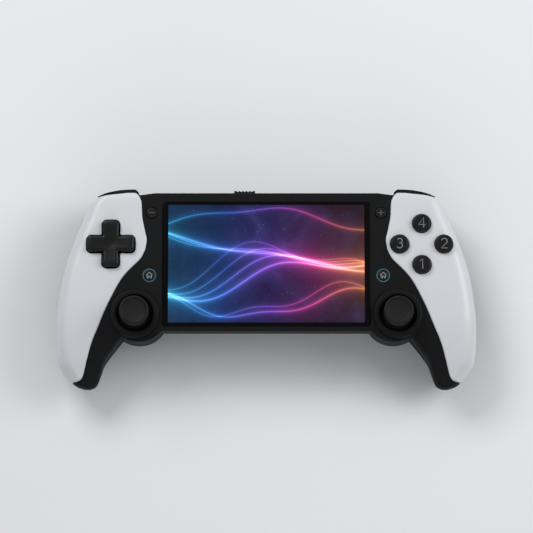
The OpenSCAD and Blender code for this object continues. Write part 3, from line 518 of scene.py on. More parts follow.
def button_places():
    for name, a in (("right", 0.0), ("top", 90.0), ("left", 180.0), ("bottom", 270.0)):
        x = PAD.x + BUTTON_ACROSS * math.cos(math.radians(a))
        y = PAD.y + BUTTON_UPRIGHT * math.sin(math.radians(a))
        yield name, Vector((x, y, 0.0))


def box_solid(low, high, side):
    points = [(x, y, z) for z in (low[2], high[2]) for y in (low[1], high[1]) for x in (low[0], high[0])]
    faces = [(0, 2, 3, 1), (4, 5, 7, 6), (0, 1, 5, 4), (1, 3, 7, 5), (3, 2, 6, 7), (2, 0, 4, 6)]
    return solid(mirrored(points, side), faces)


def add_plate(side):
    name = "right" if side > 0 else "left"
    edge = smooth_curve(PLATE_EDGE, 24)
    rings = [plate_ring(s, edge) for s in grip_sections()]
    plate = solid(*lofted([mirrored(r, side) for r in rings if r]))
    plate.name = plate.data.name = name + "_plate"
    tools = [box_solid(*SHOULDER_SLOT, side)]
    levels = flare_levels(PLATE_Z)
    if side > 0:
        wall = [(BUTTON_R + PLAY + g, z) for g, z in levels]
        profile = [(0.0, PLATE_Z - HOLE_DEPTH)] + wall + [(0.0, PLATE_Z + HOLE_OVER)]
        tools += [solid(*turned(profile, place, HOLE_STEPS)) for _, place in button_places()]
    else:
        tools.append(solid(*lofted([
            [(p.x - PAD.x, p.y + PAD.y, z) for p in dpad_outline(DPAD_GAP + g, DPAD_HOLE_NOTCH_R)]
            for g, z in levels
        ])))
    cut(plate, tools)
    tidy_normals(plate, PLATE_SHARP)
    dress(plate, WHITE, "console", [name + "_grip_plate"])


for side in (-1, 1):
    add_plate(side)


# Black shells: grips, centre body and stick pods, hollow and parted along a line
BODY_TOP, BODY_BOTTOM, BACK_Z = 52.1, -25.0, 20.0
BODY_HALF, BODY_CORNER_X, BODY_SLOPE, BODY_END_FALL = 72.0, 61.5, 0.12, 0.055
EDGE_R, LEAST_EDGE_R, BODY_BACK_R = 1.0, 0.05, 8.0
WALL = 2.0
GRIP_WALL = PLATE_T + SEAM + WALL
LEAST_R = 0.8
POD_X, POD_Y, POD_R = STICK.x - 2.2, STICK.y + 0.4, 16.0
POD_LOW, POD_HIGH, POD_ROUND = 14.9, FACE_Z - 0.4, 6.0
RING_HOLE_R = 12.7
DOME_R = 12.5
FAR, BELOW = 150.0, -5.0
LENS_W, LENS_H, LENS_Y, LENS_R = 114.6, 69.6, 12.2, 2.0
OPENING_LOW, KEY_OPENING_LOW, SHOULDER_OPENING_LOW = FACE_Z - 6.0, 20.0, PART_Z - 1.0
TRIGGER_BAY = ((68.7, 40.0, -1.0), (89.3, 80.0, 24.4))
BAY_WALL = 1.6
# Screws: x, y and the height of the seat for the head
SCREWS = [(58.6, 47.3, 22.4), (98.0, 4.0, 19.0), (101.0, -36.0, 13.8)]
SCREW_BOSS_R, SCREW_HOLE_R, SCREW_FLOOR = 3.6, 2.2, 2.0
SCREW_BOSS_STEPS, SCREW_HOLE_STEPS = 32, 48
SPEAKER_X, SPEAKER_Y = 97.0, -16.0
SPEAKER_SLOTS, SPEAKER_PITCH = 4, 1.92
SPEAKER_SLOT = (13.0, 1.0, 0.499)
SPEAKER_SLOT_LOW, SPEAKER_SLOT_HIGH = -1.0, 9.0
# Openings on the top edge for charging, headphones, card and power slider: x, z, width, height, corner
PORTS = [
    (12.0, 29.13, 9.34, 3.66, 1.5),
    (32.0, 28.6, 5.6, 5.6, 2.799),
    (-34.0, 28.3, 12.0, 1.4, 0.2),
    (-10.5, 29.5, 7.6, 3.0, 0.3),
]
PORT_REACH = 4.0


def grip_solid(side, d, sink=0.0):
    """Grip as a solid, in from the outside by d, with its front lowered by sink."""
    middle, reach = (GRIP_TOP + GRIP_TIP) / 2.0, (GRIP_TOP - GRIP_TIP) / 2.0
    rings = []
    for y, inner, outer, back, front in grip_sections():
        if min(outer - inner, front - back) <= 2.0 * d + sink + 2.0 * LEAST_R:
            continue
        xi, xo, zb, zf = inner + d, outer - d, back + d, front - d - sink
        half = min(xo - xi, zf - zb) / 2.0
        r_out, r_in, r_back = (
            edge_radius(max(r - d, LEAST_R), half) for r in (GRIP_FRONT_R, GRIP_INNER_R, GRIP_BACK_R)
        )
        ring = arc(xo - r_out, zf - r_out, r_out, 0.0, 90.0, 10)
        ring += arc(xi + r_in, zf - r_in, r_in, 90.0, 180.0, 10)
        ring += arc(xi + r_back, zb + r_back, r_back, 180.0, 270.0, 14)
        ring += arc(xo - r_back, zb + r_back, r_back, 270.0, 360.0, 14)
        place = middle + (y - middle) * (reach - d) / reach
        rings.append([(side * x, place, z) for x, z in ring])
    return solid(*lofted(rings))


def body_solid(d=0.0):
    """Centre body between the grips, in from the outside by d."""
    rings = []
    for x in (d - BODY_HALF, -BODY_CORNER_X, BODY_CORNER_X, BODY_HALF - d):
        beyond = max(abs(x) - BODY_CORNER_X, 0.0)
        top, front = BODY_TOP - d - BODY_SLOPE * beyond, FACE_Z - d - BODY_END_FALL * beyond
        low, back = BODY_BOTTOM + d, BACK_Z + d
        edge, r = max(EDGE_R - d, LEAST_EDGE_R), BODY_BACK_R - d
        loop = arc(top - edge, front - edge, edge, 0.0, 90.0, 6)
        loop += arc(low + edge, front - edge, edge, 90.0, 180.0, 6)
        loop += arc(low + r, back + r, r, 180.0, 270.0, 12) + arc(top - r, back + r, r, 270.0, 360.0, 12)
        rings.append([(x, y, z) for y, z in loop])
    return solid(*lofted(rings))


def pod_solid(side, d=0.0):
    """Round pod behind a stick, in from the outside by d."""
    r, low, high, round_r = POD_R - d, POD_LOW + d, POD_HIGH - d, POD_ROUND - d
    profile = [(0.0, low)] + arc(r - round_r, low + round_r, round_r, -90.0, 0.0, 12)
    profile += arc(r - EDGE_R, high - EDGE_R, EDGE_R, 0.0, 90.0, 5) + [(0.0, high)]
    return solid(*turned(profile, (side * POD_X, POD_Y, 0.0)))


def upright_prism(loop, low, high):
    return solid(*lofted([[(x, y, z) for x, y in loop] for z in (low, high)]))


def cylinder_solid(x, y, r, low, high, steps=64):
    return solid(*turned([(0.0, low), (r, low), (r, high), (0.0, high)], (x, y, 0.0), steps))


def dome_room(side):
    """Ball of space that the skirt of a stick swings in."""
    ball = sphere_line(DOME_R + PLAY, 180.0, 0.0, 32)
    return solid(*turned(ball, (side * STICK.x, STICK.y, STICK.z), HOLE_STEPS))


def zone_solid(front):
    """Space in front of the parting line, or behind it."""
    shift, end = (SEAM / 2.0, FAR) if front else (-SEAM / 2.0, -FAR)
    loop = [
        (FAR, end), (FAR, PART_Z + shift), (STICK.y, PART_Z + shift), (GRIP_TIP, PART_TIP_Z + shift),
        (-FAR, PART_TIP_Z - FAR / 2.0), (-FAR, end - (0.0 if front else FAR)),
    ]
    return solid(*lofted([[(x, y, z) for y, z in loop] for x in (-FAR, FAR)]))


def shoulder_outline(gap):
    """Outline of the right shoulder button and its flange over their travel, grown by a gap."""
    start, end = SHOULDER_IN, SHOULDER_IN + SHOULDER_W
    low, step = SHOULDER_BACK - SHOULDER_TRAVEL - gap, SHOULDER_BACK + SHOULDER_FLANGE_D + gap
    wide = SHOULDER_FLANGE + gap
    slope = [(start + SHOULDER_CORNER, SHOULDER_TOP)]
    slope += [(start + u * SHOULDER_W, SHOULDER_TOP - v * SHOULDER_FALL) for u, v in SHOULDER_CURVE]
    loop = [(start - wide, low), (start - wide, step), (start - gap, step)]
    loop.append((start - gap, SHOULDER_TOP - SHOULDER_CORNER + gap))
    loop += [(x, y + gap) for x, y in smooth_curve(slope, 8)[:-1]]
    loop += [(end + gap, SHOULDER_TOP - SHOULDER_FALL + gap), (end + gap, step)]
    return loop + [(end + wide, step), (end + wide, low)]


def plate_seat_tool(side):
    """Space of a grip plate, down to its seat."""
    edge = smooth_curve(PLATE_EDGE, 12)
    grown = []
    for i, (x, y) in enumerate(edge):
        a, b = edge[max(i - 1, 0)], edge[min(i + 1, len(edge) - 1)]
        span = math.dist(a, b)
        grown.append((side * (x + (b[1] - a[1]) / span * SEAM), y - (b[0] - a[0]) / span * SEAM))
    tool = upright_prism(grown + [(side * FAR, -FAR / 2.0), (side * FAR, FAR / 2.0)], -FAR, FAR)
    cut(tool, [grip_solid(side, PLATE_T + SEAM)])
    return tool


def port_tools():
    tools = []
    ends = (BODY_TOP - PORT_REACH, BODY_TOP + PORT_REACH)
    for x, z, w, h, r in PORTS:
        loop = rounded_rect(w, h, r)
        tools.append(solid(*lofted([[(x + u, y, z + v) for u, v in loop] for y in ends])))
    return tools


def both(make, *values):
    """The same solid on the left and on the right."""
    return [make(side, *values) for side in (-1, 1)]


def outer_solid(sink):
    """Both grips, the centre body and the pods in one solid."""
    shell = body_solid()
    cut(shell, both(grip_solid, 0.0, sink) + both(pod_solid), "UNION")
    return shell


def merge_flats(piece):
    """Takes out the edges that booleans leave across flat faces."""
    bm = bmesh.new()
    bm.from_mesh(piece.data)
    bmesh.ops.remove_doubles(bm, verts=bm.verts, dist=FLAT_WELD)
    bmesh.ops.dissolve_limit(bm, angle_limit=FLAT_ANGLE, verts=bm.verts, edges=bm.edges)
    bm.to_mesh(piece.data)
    bm.free()


def finish_shell(shell, name, material):
    shell.name = shell.data.name = name
    merge_flats(shell)
    tidy_normals(shell, SHELL_SHARP)
    shell.modifiers.new("normals", "WEIGHTED_NORMAL").keep_sharp = True
    dress(shell, material, "console", [name.replace("case", "shell")])


def add_front_case():
    shell = outer_solid(PLATE_PROUD)
    cut(shell, [zone_solid(True)], "INTERSECT")
    cut(shell, both(plate_seat_tool))
    cut(shell, [body_solid(WALL)] + both(pod_solid, WALL) + both(grip_solid, GRIP_WALL))
    lens_loop = rounded_rect(LENS_W + 2.0 * SEAM, LENS_H + 2.0 * SEAM, LENS_R)
    tools = [upright_prism([(x, y + LENS_Y) for x, y in lens_loop], OPENING_LOW, FAR)] + port_tools()
    for s in (-1, 1):
        shoulder = [(s * x, y) for x, y in shoulder_outline(PLAY)]
        tools.append(upright_prism(shoulder, SHOULDER_OPENING_LOW, SHOULDER_HIGH + PLAY))
        for place, r in ((STICK, RING_HOLE_R), (MENU, SMALL_R + PLAY), (HOME, LIGHT_R + SEAM)):
            tools.append(cylinder_solid(s * place.x, place.y, r, OPENING_LOW, FAR))
    for _, place in button_places():
        tools.append(cylinder_solid(place.x, place.y, BUTTON_R + PLAY, KEY_OPENING_LOW, FAR))
    pad_hole = [(p.x - PAD.x, p.y + PAD.y) for p in dpad_outline(DPAD_GAP, DPAD_HOLE_NOTCH_R)]
    tools.append(upright_prism(pad_hole, KEY_OPENING_LOW, FAR))
    cut(shell, [joined(tools)] + both(dome_room))
    finish_shell(shell, "front_case", BLACK)


def add_rear_case():
    shell = outer_solid(0.0)
    cut(shell, [zone_solid(False)], "INTERSECT")
    hollow = body_solid(WALL)
    cut(hollow, both(grip_solid, WALL) + both(pod_solid, WALL), "UNION")
    low, high = TRIGGER_BAY
    for s in (-1, 1):
        walls = [box_solid([c - BAY_WALL for c in low], [c + BAY_WALL for c in high], s)]
        for x, y, seat in SCREWS:
            top = seat + SCREW_FLOOR
            walls.append(cylinder_solid(s * x, y, SCREW_BOSS_R, BELOW, top, SCREW_BOSS_STEPS))
        cut(hollow, [joined(walls)])
    cut(shell, [hollow])
    tools = port_tools()
    for s in (-1, 1):
        tools.append(box_solid(low, high, s))
        for x, y, seat in SCREWS:
            tools.append(cylinder_solid(s * x, y, SCREW_HOLE_R, BELOW, seat, SCREW_HOLE_STEPS))
        for i in range(SPEAKER_SLOTS):
            middle = SPEAKER_Y + (i - (SPEAKER_SLOTS - 1) / 2.0) * SPEAKER_PITCH
            slot = [(s * SPEAKER_X + u, middle + v) for u, v in rounded_rect(*SPEAKER_SLOT)]
            tools.append(upright_prism(slot, SPEAKER_SLOT_LOW, SPEAKER_SLOT_HIGH))
    cut(shell, [joined(tools)])
    finish_shell(shell, "rear_case", BLACK_REAR)


add_front_case()
add_rear_case()


# Thumbsticks, whose heights are above the pivot, and their collars
CAP_R, CAP_TOP, CAP_LOW, CAP_LIP = 8.15, 23.0, 18.8, 0.9
BORE_R, BORE_TOP, BORE_LOW = 1.55, 19.8, 11.4
SKIRT_T, SKIRT_END, SKIRT_IN_START, SKIRT_OUT_START = 1.0, 62.0, 9.0, 17.5
NECK_R, NECK_ROUND = 5.2, 1.6
DISH_DEPTH, DISH_CURVE, DISH_ROUND = 1.15, 0.0120, 0.5
DISH_RADII = (6.4, 5.6, 4.6, 3.6, 2.6, 1.6, 0.8, 0.0)
KNURLS, KNURL_DEPTH, KNURL_INSET = 60, 0.16, 0.25
RING_R, RING_STEP, RING_SLOPE, RING_ROUND = 13.9, 1.4, 1.7, 1.3
RING_TOP, RING_LOW = FACE_Z + 2.5, FACE_Z - 2.0
WELL_R, WELL_ROUND = 10.15, 0.9


def cap_profile():
    """Cap from the hole for the shaft, round the skirt that covers the well, to the dished top."""
    lip = CAP_LIP
    profile = [(0.0, BORE_TOP), (BORE_R, BORE_TOP), (BORE_R, BORE_LOW)]
    profile += sphere_line(DOME_R - SKIRT_T, SKIRT_IN_START, SKIRT_END, 14)
    profile += sphere_line(DOME_R, SKIRT_END, SKIRT_OUT_START, 16)
    profile += arc(NECK_R, CAP_LOW - NECK_ROUND, NECK_ROUND, 180.0, 90.0, 6)
    profile += arc(CAP_R - lip, CAP_LOW + lip, lip, -90.0, 0.0, 8)
    grip_start = len(profile)
    profile += [(CAP_R, CAP_LOW + lip + KNURL_INSET), (CAP_R, CAP_TOP - lip - KNURL_INSET)]
    grip_rows = range(grip_start, len(profile))
    profile += arc(CAP_R - lip, CAP_TOP - lip, lip, 0.0, 90.0, 10)
    profile += arc(CAP_R - lip, CAP_TOP - DISH_ROUND, DISH_ROUND, 90.0, 160.0, 5)[1:]
    profile += [(r, CAP_TOP - DISH_DEPTH + DISH_CURVE * r * r) for r in DISH_RADII]
    return profile, grip_rows


def ring_profile():
    """Raised collar round a stick, from the well over the top to the face."""
    foot = RING_R - RING_STEP
    profile = [(foot, RING_LOW), (WELL_R, RING_LOW)]
    profile += arc(WELL_R + WELL_ROUND, RING_TOP - WELL_ROUND, WELL_ROUND, 180.0, 90.0, 8)
    profile += arc(RING_R - RING_SLOPE, RING_TOP - RING_ROUND, RING_ROUND, 90.0, 12.0, 9)
    profile += [(RING_R, FACE_Z + SEAM), (foot, FACE_Z + SEAM), (foot, RING_LOW)]
    return profile


def knurled(points, profile, rows, centre, steps):
    """Presses grooves into some rows of a turned piece."""
    start = 0
    for i, (r, _) in enumerate(profile):
        count = 1 if r < TINY else steps
        if i in rows:
            share = 1.0 - KNURL_DEPTH / r
            for k in range(count):
                if k % (steps // KNURLS):
                    x, y, h = points[start + k]
                    x, y = (c + (p - c) * share for p, c in ((x, centre.x), (y, centre.y)))
                    points[start + k] = (x, y, h)
        start += count
    return points


def add_stick(side):
    name = "right" if side > 0 else "left"
    centre = Vector((side * STICK.x, STICK.y, STICK.z))
    steps = 3 * KNURLS
    profile, grip_rows = cap_profile()
    points, faces = turned(profile, centre, steps)
    points = knurled(points, profile, grip_rows, centre, steps)
    make_piece(
        name + "_thumb_cap", points, faces, RUBBER,
        name + "_stick", [name + "_stick_cap"], ROUND_SHARP,
    )
    points, faces = turned(ring_profile(), (centre.x, centre.y, 0.0))
    make_piece(
        name + "_collar", points, faces, BLACK,
        "console", [name + "_stick_ring"], ROUND_SHARP,
    )


for side in (-1, 1):
    add_stick(side)


# Face buttons and small buttons
FLANGE_LOW, FLANGE_T = 33.7, 1.0
BUTTON_TOP, BUTTON_EDGE, BUTTON_CROWN = PLATE_Z + 2.6, 0.8, 0.12
SMALL_LOW, SMALL_FLANGE, SMALL_EDGE, SMALL_CROWN = FACE_Z - 3.2, 0.9, 0.45, 0.05
MENU_TOP, HOME_TOP = FACE_Z + 0.7, FACE_Z + 0.4
STEM_R, STEM_LOW = 1.5, 29.4


def button_profile(r, low, flange_r, top, edge, crown):
    """Round button from its flange up to a slightly crowned top."""
    profile = [(0.0, low), (flange_r, low), (flange_r, low + FLANGE_T)]
    if flange_r > r:
        profile.append((r, low + FLANGE_T))
    profile += arc(r - edge, top - edge - crown, edge, 0.0, 78.0, 8)
    start_r, start_z = profile[-1]
    for k in range(1, 9):
        t = k / 8.0
        profile.append((start_r * (1.0 - t), start_z + (top - start_z) * (1.0 - (1.0 - t) ** 2)))
    return profile


def add_buttons():
    for name, place in button_places():
        profile = button_profile(BUTTON_R, FLANGE_LOW, BUTTON_R, BUTTON_TOP, BUTTON_EDGE, BUTTON_CROWN)
        points, faces = turned(profile, place)
        make_piece(
            "face_key_" + name, points, faces, KEY,
            "key_" + name, ["button_" + name], ROUND_SHARP,
        )
    for name, place, top in (
        ("minus", Vector((-MENU.x, MENU.y, 0.0)), MENU_TOP),
        ("plus", MENU, MENU_TOP),
        ("left_home", Vector((-HOME.x, HOME.y, 0.0)), HOME_TOP),
        ("right_home", HOME, HOME_TOP),
    ):
        key = button_profile(SMALL_R, SMALL_LOW, SMALL_R + SMALL_FLANGE, top, SMALL_EDGE, SMALL_CROWN)
        profile = [(0.0, STEM_LOW), (STEM_R, STEM_LOW), (STEM_R, SMALL_LOW)] + key[1:]
        points, faces = turned(profile, place, 64)
        make_piece(
            "small_key_" + name, points, faces, KEY,
            "key_" + name, [name + "_button"], ROUND_SHARP,
        )


add_buttons()


# Direction pad
DPAD_TOP, DPAD_DISH, DPAD_CURVE = PLATE_Z + 3.4, 0.7, 150.0
DPAD_EDGE, DPAD_EDGE_DROP = 1.6, 1.0
DPAD_FLANGE, DPAD_FLANGE_R, DPAD_FLANGE_T, DPAD_FLANGE_W = 31.97, 13.2, 1.0, 1.2
DPAD_SHARES = (0.94, 0.86, 0.76, 0.66, 0.56, 0.46, 0.38, 0.32, 0.27, 0.22, 0.17, 0.12, 0.06)
DIMPLE_R, DIMPLE_DEPTH = 4.2, 0.3


def dpad_height(x, y):
    """Top of the direction pad: arms that rise outwards, and a round dimple in the middle."""
    r = math.hypot(x, y)
    dimple = DIMPLE_DEPTH * max(1.0 - (r / DIMPLE_R) ** 2, 0.0) ** 2
    return min(DPAD_TOP, DPAD_TOP - DPAD_DISH + r * r / DPAD_CURVE) - dimple


def dpad_ring(grow, z):
    """Outline at one height, cut back to a circle at the arm tips."""
    return [(*(p * min(1.0, DPAD_FLANGE_R / p.length)), z) for p in dpad_outline(grow)]


def add_dpad():
    step = DPAD_FLANGE + DPAD_FLANGE_T
    levels = [(DPAD_FLANGE_W, DPAD_FLANGE), (DPAD_FLANGE_W, step), (0.0, step), (0.0, PLATE_Z)]
    rings = [dpad_ring(g, z) for g, z in levels]
    for k in range(7):
        a = math.radians(15.0 * k)
        inset, drop = DPAD_EDGE * (1.0 - math.cos(a)), DPAD_EDGE_DROP * (1.0 - math.sin(a))
        rings.append([(p.x, p.y, dpad_height(p.x, p.y) - drop) for p in dpad_outline(-inset)])
    rim = dpad_outline(-DPAD_EDGE)
    for share in DPAD_SHARES:
        rings.append([(p.x * share, p.y * share, dpad_height(p.x * share, p.y * share)) for p in rim])
    points, faces = lofted(rings)
    points = [(x - PAD.x, y + PAD.y, z) for x, y, z in points]
    make_piece("direction_cross", points, faces, KEY, "dpad_cross", ["dpad"], ROUND_SHARP)


add_dpad()


# Legends: strokes laid on the tops of the buttons, in shares of a legend's size
STROKE_STEPS = 18
NUMERALS = {
    "bottom": [[(-0.20, 0.30), (0.04, 0.50), (0.04, -0.50)]],
    "right": [arc(0.0, 0.21, 0.29, 165.0, -35.0, STROKE_STEPS) + [(-0.31, -0.50), (0.33, -0.50)]],
    "left": [
        arc(-0.02, 0.25, 0.25, 150.0, -90.0, STROKE_STEPS)
        + arc(-0.02, -0.22, 0.28, 90.0, -150.0, STROKE_STEPS)
    ],
    "top": [[(0.17, -0.50), (0.17, 0.50), (-0.34, -0.20), (0.36, -0.20)]],
}
MINUS = [[(-0.5, 0.0), (0.5, 0.0)]]
PLUS = MINUS + [[(0.0, -0.5), (0.0, 0.5)]]
HOUSE = [
    [(-0.5, 0.03), (0.0, 0.48), (0.5, 0.03)],
    [
        (-0.36, 0.05), (-0.36, -0.44), (-0.13, -0.44), (-0.13, -0.12),
        (0.13, -0.12), (0.13, -0.44), (0.36, -0.44), (0.36, 0.05),
    ],
]
# Size of a legend and width of its strokes
NUMERAL_SIZE, SIGN_SIZE, HOUSE_SIZE = (5.4, 0.62), (3.0, 0.5), (3.4, 0.42)
NUMERAL_SINK, SIGN_SINK, HOUSE_SHIFT = 0.03, 0.01, 0.05
LEGEND_FLAT = 0.3


def add_legend(name, strokes, place, size, width, material, body, slot):
    """Flattened strokes with closed ends, a little proud of the surface they lie on."""
    data = bpy.data.curves.new(name, "CURVE")
    data.dimensions = "3D"
    data.bevel_depth = width / 2.0 * MM
    data.bevel_resolution = 3
    data.use_fill_caps = True
    for stroke in strokes:
        spline = data.splines.new("POLY")
        spline.points.add(len(stroke) - 1)
        for point, (x, y) in zip(spline.points, stroke):
            point.co = (x * size * MM, y * size * MM, 0.0, 1.0)
    curve = bpy.data.objects.new("tool", data)
    bpy.context.scene.collection.objects.link(curve)
    bpy.context.view_layer.update()
    mesh = bpy.data.meshes.new_from_object(curve.evaluated_get(bpy.context.evaluated_depsgraph_get()))
    bpy.data.objects.remove(curve)
    mesh.name = name
    flat = Matrix.Diagonal((1.0, 1.0, LEGEND_FLAT, 1.0))
    mesh.transform(Matrix.Translation(Vector(place) * MM) @ flat)
    piece = bpy.data.objects.new(name, mesh)
    bpy.context.scene.collection.objects.link(piece)
    mesh.shade_smooth()
    dress(piece, material, body)


def add_legends():
    for name, place in button_places():
        top = (place.x, place.y, BUTTON_TOP - NUMERAL_SINK)
        add_legend("numeral_" + name, NUMERALS[name], top, *NUMERAL_SIZE, LEGEND, "key_" + name, "black_key")
    for name, strokes, x in (("minus", MINUS, -MENU.x), ("plus", PLUS, MENU.x)):
        top = (x, MENU.y, MENU_TOP - SIGN_SINK)
        add_legend(name + "_sign", strokes, top, *SIGN_SIZE, DIM_LEGEND, "key_" + name, "black_shell")
    for name, x in (("left", -HOME.x), ("right", HOME.x)):
        top = (x, HOME.y - HOUSE_SHIFT, HOME_TOP - SIGN_SINK)
        add_legend(name + "_house", HOUSE, top, *HOUSE_SIZE, ICON, "key_" + name + "_home", "light_ring")


add_legends()


# Light rings round the home buttons
def light_material():
    material, tree, shader = new_material("ring_light")
    place = add_node(tree, "TexCoord").outputs["Object"]
    cloud = add_node(tree, "TexNoise", {"Vector": place, "Scale": 260.0, "Detail": 2.0})
    glow = ramp(tree, cloud.outputs["Fac"], [(0.35, (0.030, 0.085, 0.115)), (0.65, (0.045, 0.11, 0.145))])
    tree.links.new(glow, shader.inputs["Base Color"])
    tree.links.new(glow, shader.inputs["Emission Color"])
    shader.inputs["Emission Strength"].default_value = 0.35
    shader.inputs["Roughness"].default_value = 0.3
    return material


RING_LIGHT = light_material()


def add_light_rings():
    gap, depth, edge = 0.15, 1.1, 0.1
    inner, low = SMALL_R + gap, FACE_Z - depth
    profile = [(inner, low), (inner, FACE_Z - edge), (inner + edge, FACE_Z)]
    profile += [(LIGHT_R - edge, FACE_Z), (LIGHT_R, FACE_Z - edge), (LIGHT_R, low), (inner, low)]
    for name, x in (("left", -HOME.x), ("right", HOME.x)):
        points, faces = turned(profile, (x, HOME.y, 0.0), 72)
        make_piece(
            name + "_light", points, faces, RING_LIGHT,
            "console", [name + "_home_ring"], RING_SHARP,
        )


add_light_rings()


# Screen: a glossy lens whose lit area shows flowing ribbons of light
SCREEN_W, SCREEN_H, SCREEN_Y = 108.0, 65.6, 12.5
RIBBONS = [
    # rise, waves, phase, second rise, second phase, level, width, strength
    (0.34, 1.9, 0.4, 0.10, 1.2, -0.30, 0.020, 1.00),
    (0.36, 1.9, 0.7, 0.12, 1.7, -0.24, 0.012, 0.75),
    (0.38, 1.9, 1.0, 0.14, 2.2, -0.18, 0.008, 0.60),
    (0.40, 1.9, 1.3, 0.16, 2.7, -0.12, 0.006, 0.50),
    (0.30, 1.4, 3.4, 0.08, 0.3, 0.22, 0.018, 0.95),
    (0.33, 1.4, 3.7, 0.10, 0.9, 0.29, 0.011, 0.70),
    (0.36, 1.4, 4.0, 0.12, 1.5, 0.36, 0.007, 0.55),
    (0.22, 2.6, 5.2, 0.06, 2.0, -0.68, 0.014, 0.80),
    (0.24, 2.6, 5.6, 0.08, 2.6, -0.62, 0.007, 0.55),
    (0.20, 2.2, 1.8, 0.05, 0.0, 0.74, 0.010, 0.60),
]
SECOND_WAVES = 2.7
RIBBON_FALL = -1.35
HUES = [
    (0.0, (0.04, 0.55, 1.0)), (0.28, (0.06, 0.22, 1.0)), (0.52, (0.38, 0.10, 0.95)),
    (0.74, (1.0, 0.07, 0.38)), (1.0, (1.0, 0.30, 0.05)),
]
SKY = [(0.30, (0.002, 0.004, 0.012)), (0.55, (0.008, 0.014, 0.050)), (0.75, (0.030, 0.030, 0.110))]
SPARK = [(0.03, (0.75, 0.85, 1.0)), (0.10, (0.0, 0.0, 0.0))]
BORDER = [(0.3, (0.0022, 0.0022, 0.0026)), (0.7, (0.0030, 0.0030, 0.0034))]


def math_node(tree, operation, *values):
    return add_node(tree, "Math", dict(enumerate(values)), operation=operation).outputs[0]


def ribbon_light(tree, u, v, ribbon):
    """Brightness of one ribbon: two waves on a level, fading to both sides."""
    rise, waves, phase, rise_2, phase_2, level, width, strength = ribbon
    first = math_node(tree, "SINE", math_node(tree, "MULTIPLY_ADD", u, waves, phase))
    second = math_node(tree, "SINE", math_node(tree, "MULTIPLY_ADD", u, SECOND_WAVES * waves, phase_2))
    first, second = math_node(tree, "MULTIPLY", first, rise), math_node(tree, "MULTIPLY", second, rise_2)
    line = math_node(tree, "ADD", math_node(tree, "ADD", first, second), level)
    gap = math_node(tree, "ABSOLUTE", math_node(tree, "SUBTRACT", line, v))
    near = math_node(tree, "ADD", math_node(tree, "MULTIPLY", gap, 1.0 / width), 1.0)
    return math_node(tree, "MULTIPLY", math_node(tree, "POWER", near, RIBBON_FALL), strength)


def mix_colour(tree, blend, factor, a, b):
    node = add_node(tree, "Mix", {0: factor, 6: a, 7: b}, data_type="RGBA", blend_type=blend)
    return node.outputs[2]


def grey(tree, value):
    return add_node(tree, "CombineColor", {0: value, 1: value, 2: value}).outputs[0]


def screen_material():
    material, tree, shader = new_material("screen_lens")
    place = add_node(tree, "TexCoord").outputs["Object"]
    split = add_node(tree, "SeparateXYZ", {0: place})
    u = math_node(tree, "MULTIPLY", split.outputs["X"], 2.0 / (SCREEN_W * MM))
    above = math_node(tree, "SUBTRACT", split.outputs["Y"], SCREEN_Y * MM)
    v = math_node(tree, "MULTIPLY", above, 2.0 / (SCREEN_H * MM))
    lit = math_node(
        tree, "MULTIPLY",
        math_node(tree, "LESS_THAN", math_node(tree, "ABSOLUTE", u), 1.0),
        math_node(tree, "LESS_THAN", math_node(tree, "ABSOLUTE", v), 1.0),
    )
    hue = ramp(tree, remap(tree, u, 0.0, 1.0, start=-1.0), HUES)
    glow = None
    for ribbon in RIBBONS:
        light = ribbon_light(tree, u, v, ribbon)
        glow = light if glow is None else math_node(tree, "ADD", glow, light)
    clouds = {"Vector": place, "Scale": 38.0, "Detail": 5.0, "Roughness": 0.6, "Distortion": 0.8}
    haze = add_node(tree, "TexNoise", clouds).outputs["Fac"]
    sky = ramp(tree, haze, SKY)
    sparks = add_node(tree, "TexVoronoi", {"Vector": place, "Scale": 330.0})
    spark = ramp(tree, sparks.outputs["Distance"], SPARK)
    dim = math_node(tree, "POWER", haze, 3.0)
    light = mix_colour(tree, "MULTIPLY", 1.0, hue, grey(tree, glow))
    hot = math_node(tree, "MULTIPLY", math_node(tree, "POWER", glow, 3.0), 0.10)
    light = mix_colour(tree, "ADD", 1.0, light, grey(tree, hot))
    light = mix_colour(tree, "ADD", 1.0, light, sky)
    light = mix_colour(tree, "ADD", dim, light, spark)
    shown = mix_colour(tree, "MIX", lit, (0.0, 0.0, 0.0, 1.0), light)
    smear = add_node(tree, "TexNoise", {"Vector": place, "Scale": 90.0, "Detail": 3.0}).outputs["Fac"]
    tree.links.new(shown, shader.inputs["Emission Color"])
    shader.inputs["Emission Strength"].default_value = 1.0
    tree.links.new(remap(tree, smear, 0.05, 0.10), shader.inputs["Roughness"])
    tree.links.new(ramp(tree, smear, BORDER), shader.inputs["Base Color"])
    shader.inputs["Specular IOR Level"].default_value = 0.08
    return material


SCREEN = screen_material()


def add_lens():
    edge, thick = 0.3, 1.3
    levels = [(0.0, FACE_Z - thick), (0.0, FACE_Z - edge)]
    for k in range(1, 5):
        a = math.radians(22.5 * k)
        levels.append((edge * (1.0 - math.cos(a)), FACE_Z - edge + edge * math.sin(a)))
    rings = []
    for inset, z in levels:
        loop = rounded_rect(LENS_W - 2.0 * inset, LENS_H - 2.0 * inset, LENS_R - inset)
        rings.append([(x, y + LENS_Y, z) for x, y in loop])
    points, faces = lofted(rings)
    make_piece("lens", points, faces, SCREEN, "console", ["screen_lens"], LENS_SHARP)


add_lens()


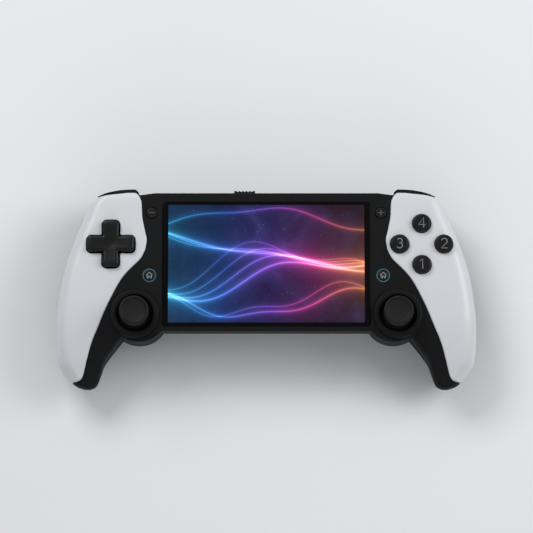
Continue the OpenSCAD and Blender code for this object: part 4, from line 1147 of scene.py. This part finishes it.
# CAD nodes that stay: their materials and smooth faces
KEPT = [
    (BLACK, [
        "left_shoulder_button", "right_shoulder_button", "left_trigger", "right_trigger", "power_slider",
    ]),
    (SCREW, ["case_screws"]),
    (SILICONE, ["backlight", "lens_gasket", "dpad_membrane", "button_membrane"]),
    (STEEL, [
        "mid_frame", "shield_can", "dpad_pivot", "menu_switches", "left_stick_shaft", "right_stick_shaft",
        "shoulder_switches", "trigger_pins", "power_switch", "usb_socket", "card_reader",
    ]),
    (BOARD, [
        "main_board", "left_control_board", "right_control_board", "left_stick_board", "right_stick_board",
    ]),
    (INNER, [
        "display_panel", "battery", "dpad_post", "left_stick_housing", "right_stick_housing",
        "left_stick_rocker", "right_stick_rocker", "left_stick_gimbal", "right_stick_gimbal",
        "left_speaker", "right_speaker", "headphone_socket",
    ]),
]


def dress_kept():
    for material, names in KEPT:
        for name in names:
            data = nodes[name].data
            data.materials.clear()
            data.materials.append(material)
            data.shade_smooth()
            data.set_sharp_from_angle(angle=math.radians(KEPT_SHARP))


dress_kept()


# Floor, just below the part so that no faces coincide, lamps and world
# Lamps: name, place and size in metres, power in watts
LAMPS = [
    ("key", (-0.55, 0.75, 0.95), (0.7, 0.5), 8.0),
    ("fill", (0.85, 0.25, 0.70), (0.6, 0.6), 5.0),
    ("front", (0.0, -1.0, 0.60), (1.0, 0.4), 1.5),
]
LAMP_TARGET = (0.0, 0.0, 0.03)


def add_stage():
    floor_material, tree, shader = new_material("floor")
    place = add_node(tree, "TexCoord").outputs["Object"]
    cloud = add_node(tree, "TexNoise", {"Vector": place, "Scale": 3.0, "Detail": 2.0})
    pale = ramp(tree, cloud.outputs["Fac"], [(0.3, (0.78, 0.785, 0.80)), (0.7, (0.82, 0.825, 0.835))])
    tree.links.new(pale, shader.inputs["Base Color"])
    shader.inputs["Roughness"].default_value = 0.75
    mesh = bpy.data.meshes.new("floor")
    reach = 6.0
    corners = ((-reach, -reach), (reach, -reach), (reach, reach), (-reach, reach))
    mesh.from_pydata([(x, y, -SEAM * MM) for x, y in corners], [], [(0, 1, 2, 3)])
    floor = bpy.data.objects.new("floor", mesh)
    mesh.materials.append(floor_material)
    bpy.context.scene.collection.objects.link(floor)


def add_area(name, place, size, power):
    data = bpy.data.lights.new(name, "AREA")
    data.shape = "RECTANGLE"
    data.size, data.size_y = size
    data.energy = power
    lamp = bpy.data.objects.new(name, data)
    lamp.location = place
    aim(lamp, LAMP_TARGET)
    bpy.context.scene.collection.objects.link(lamp)


def add_light():
    for lamp in LAMPS:
        add_area(*lamp)
    world = bpy.data.worlds.new("studio")
    world.use_nodes = True
    background = world.node_tree.nodes["Background"]
    background.inputs["Color"].default_value = (0.90, 0.92, 0.95, 1.0)
    background.inputs["Strength"].default_value = 0.40
    bpy.context.scene.world = world
    bpy.context.scene.view_settings.view_transform = "Standard"


add_stage()
add_light()
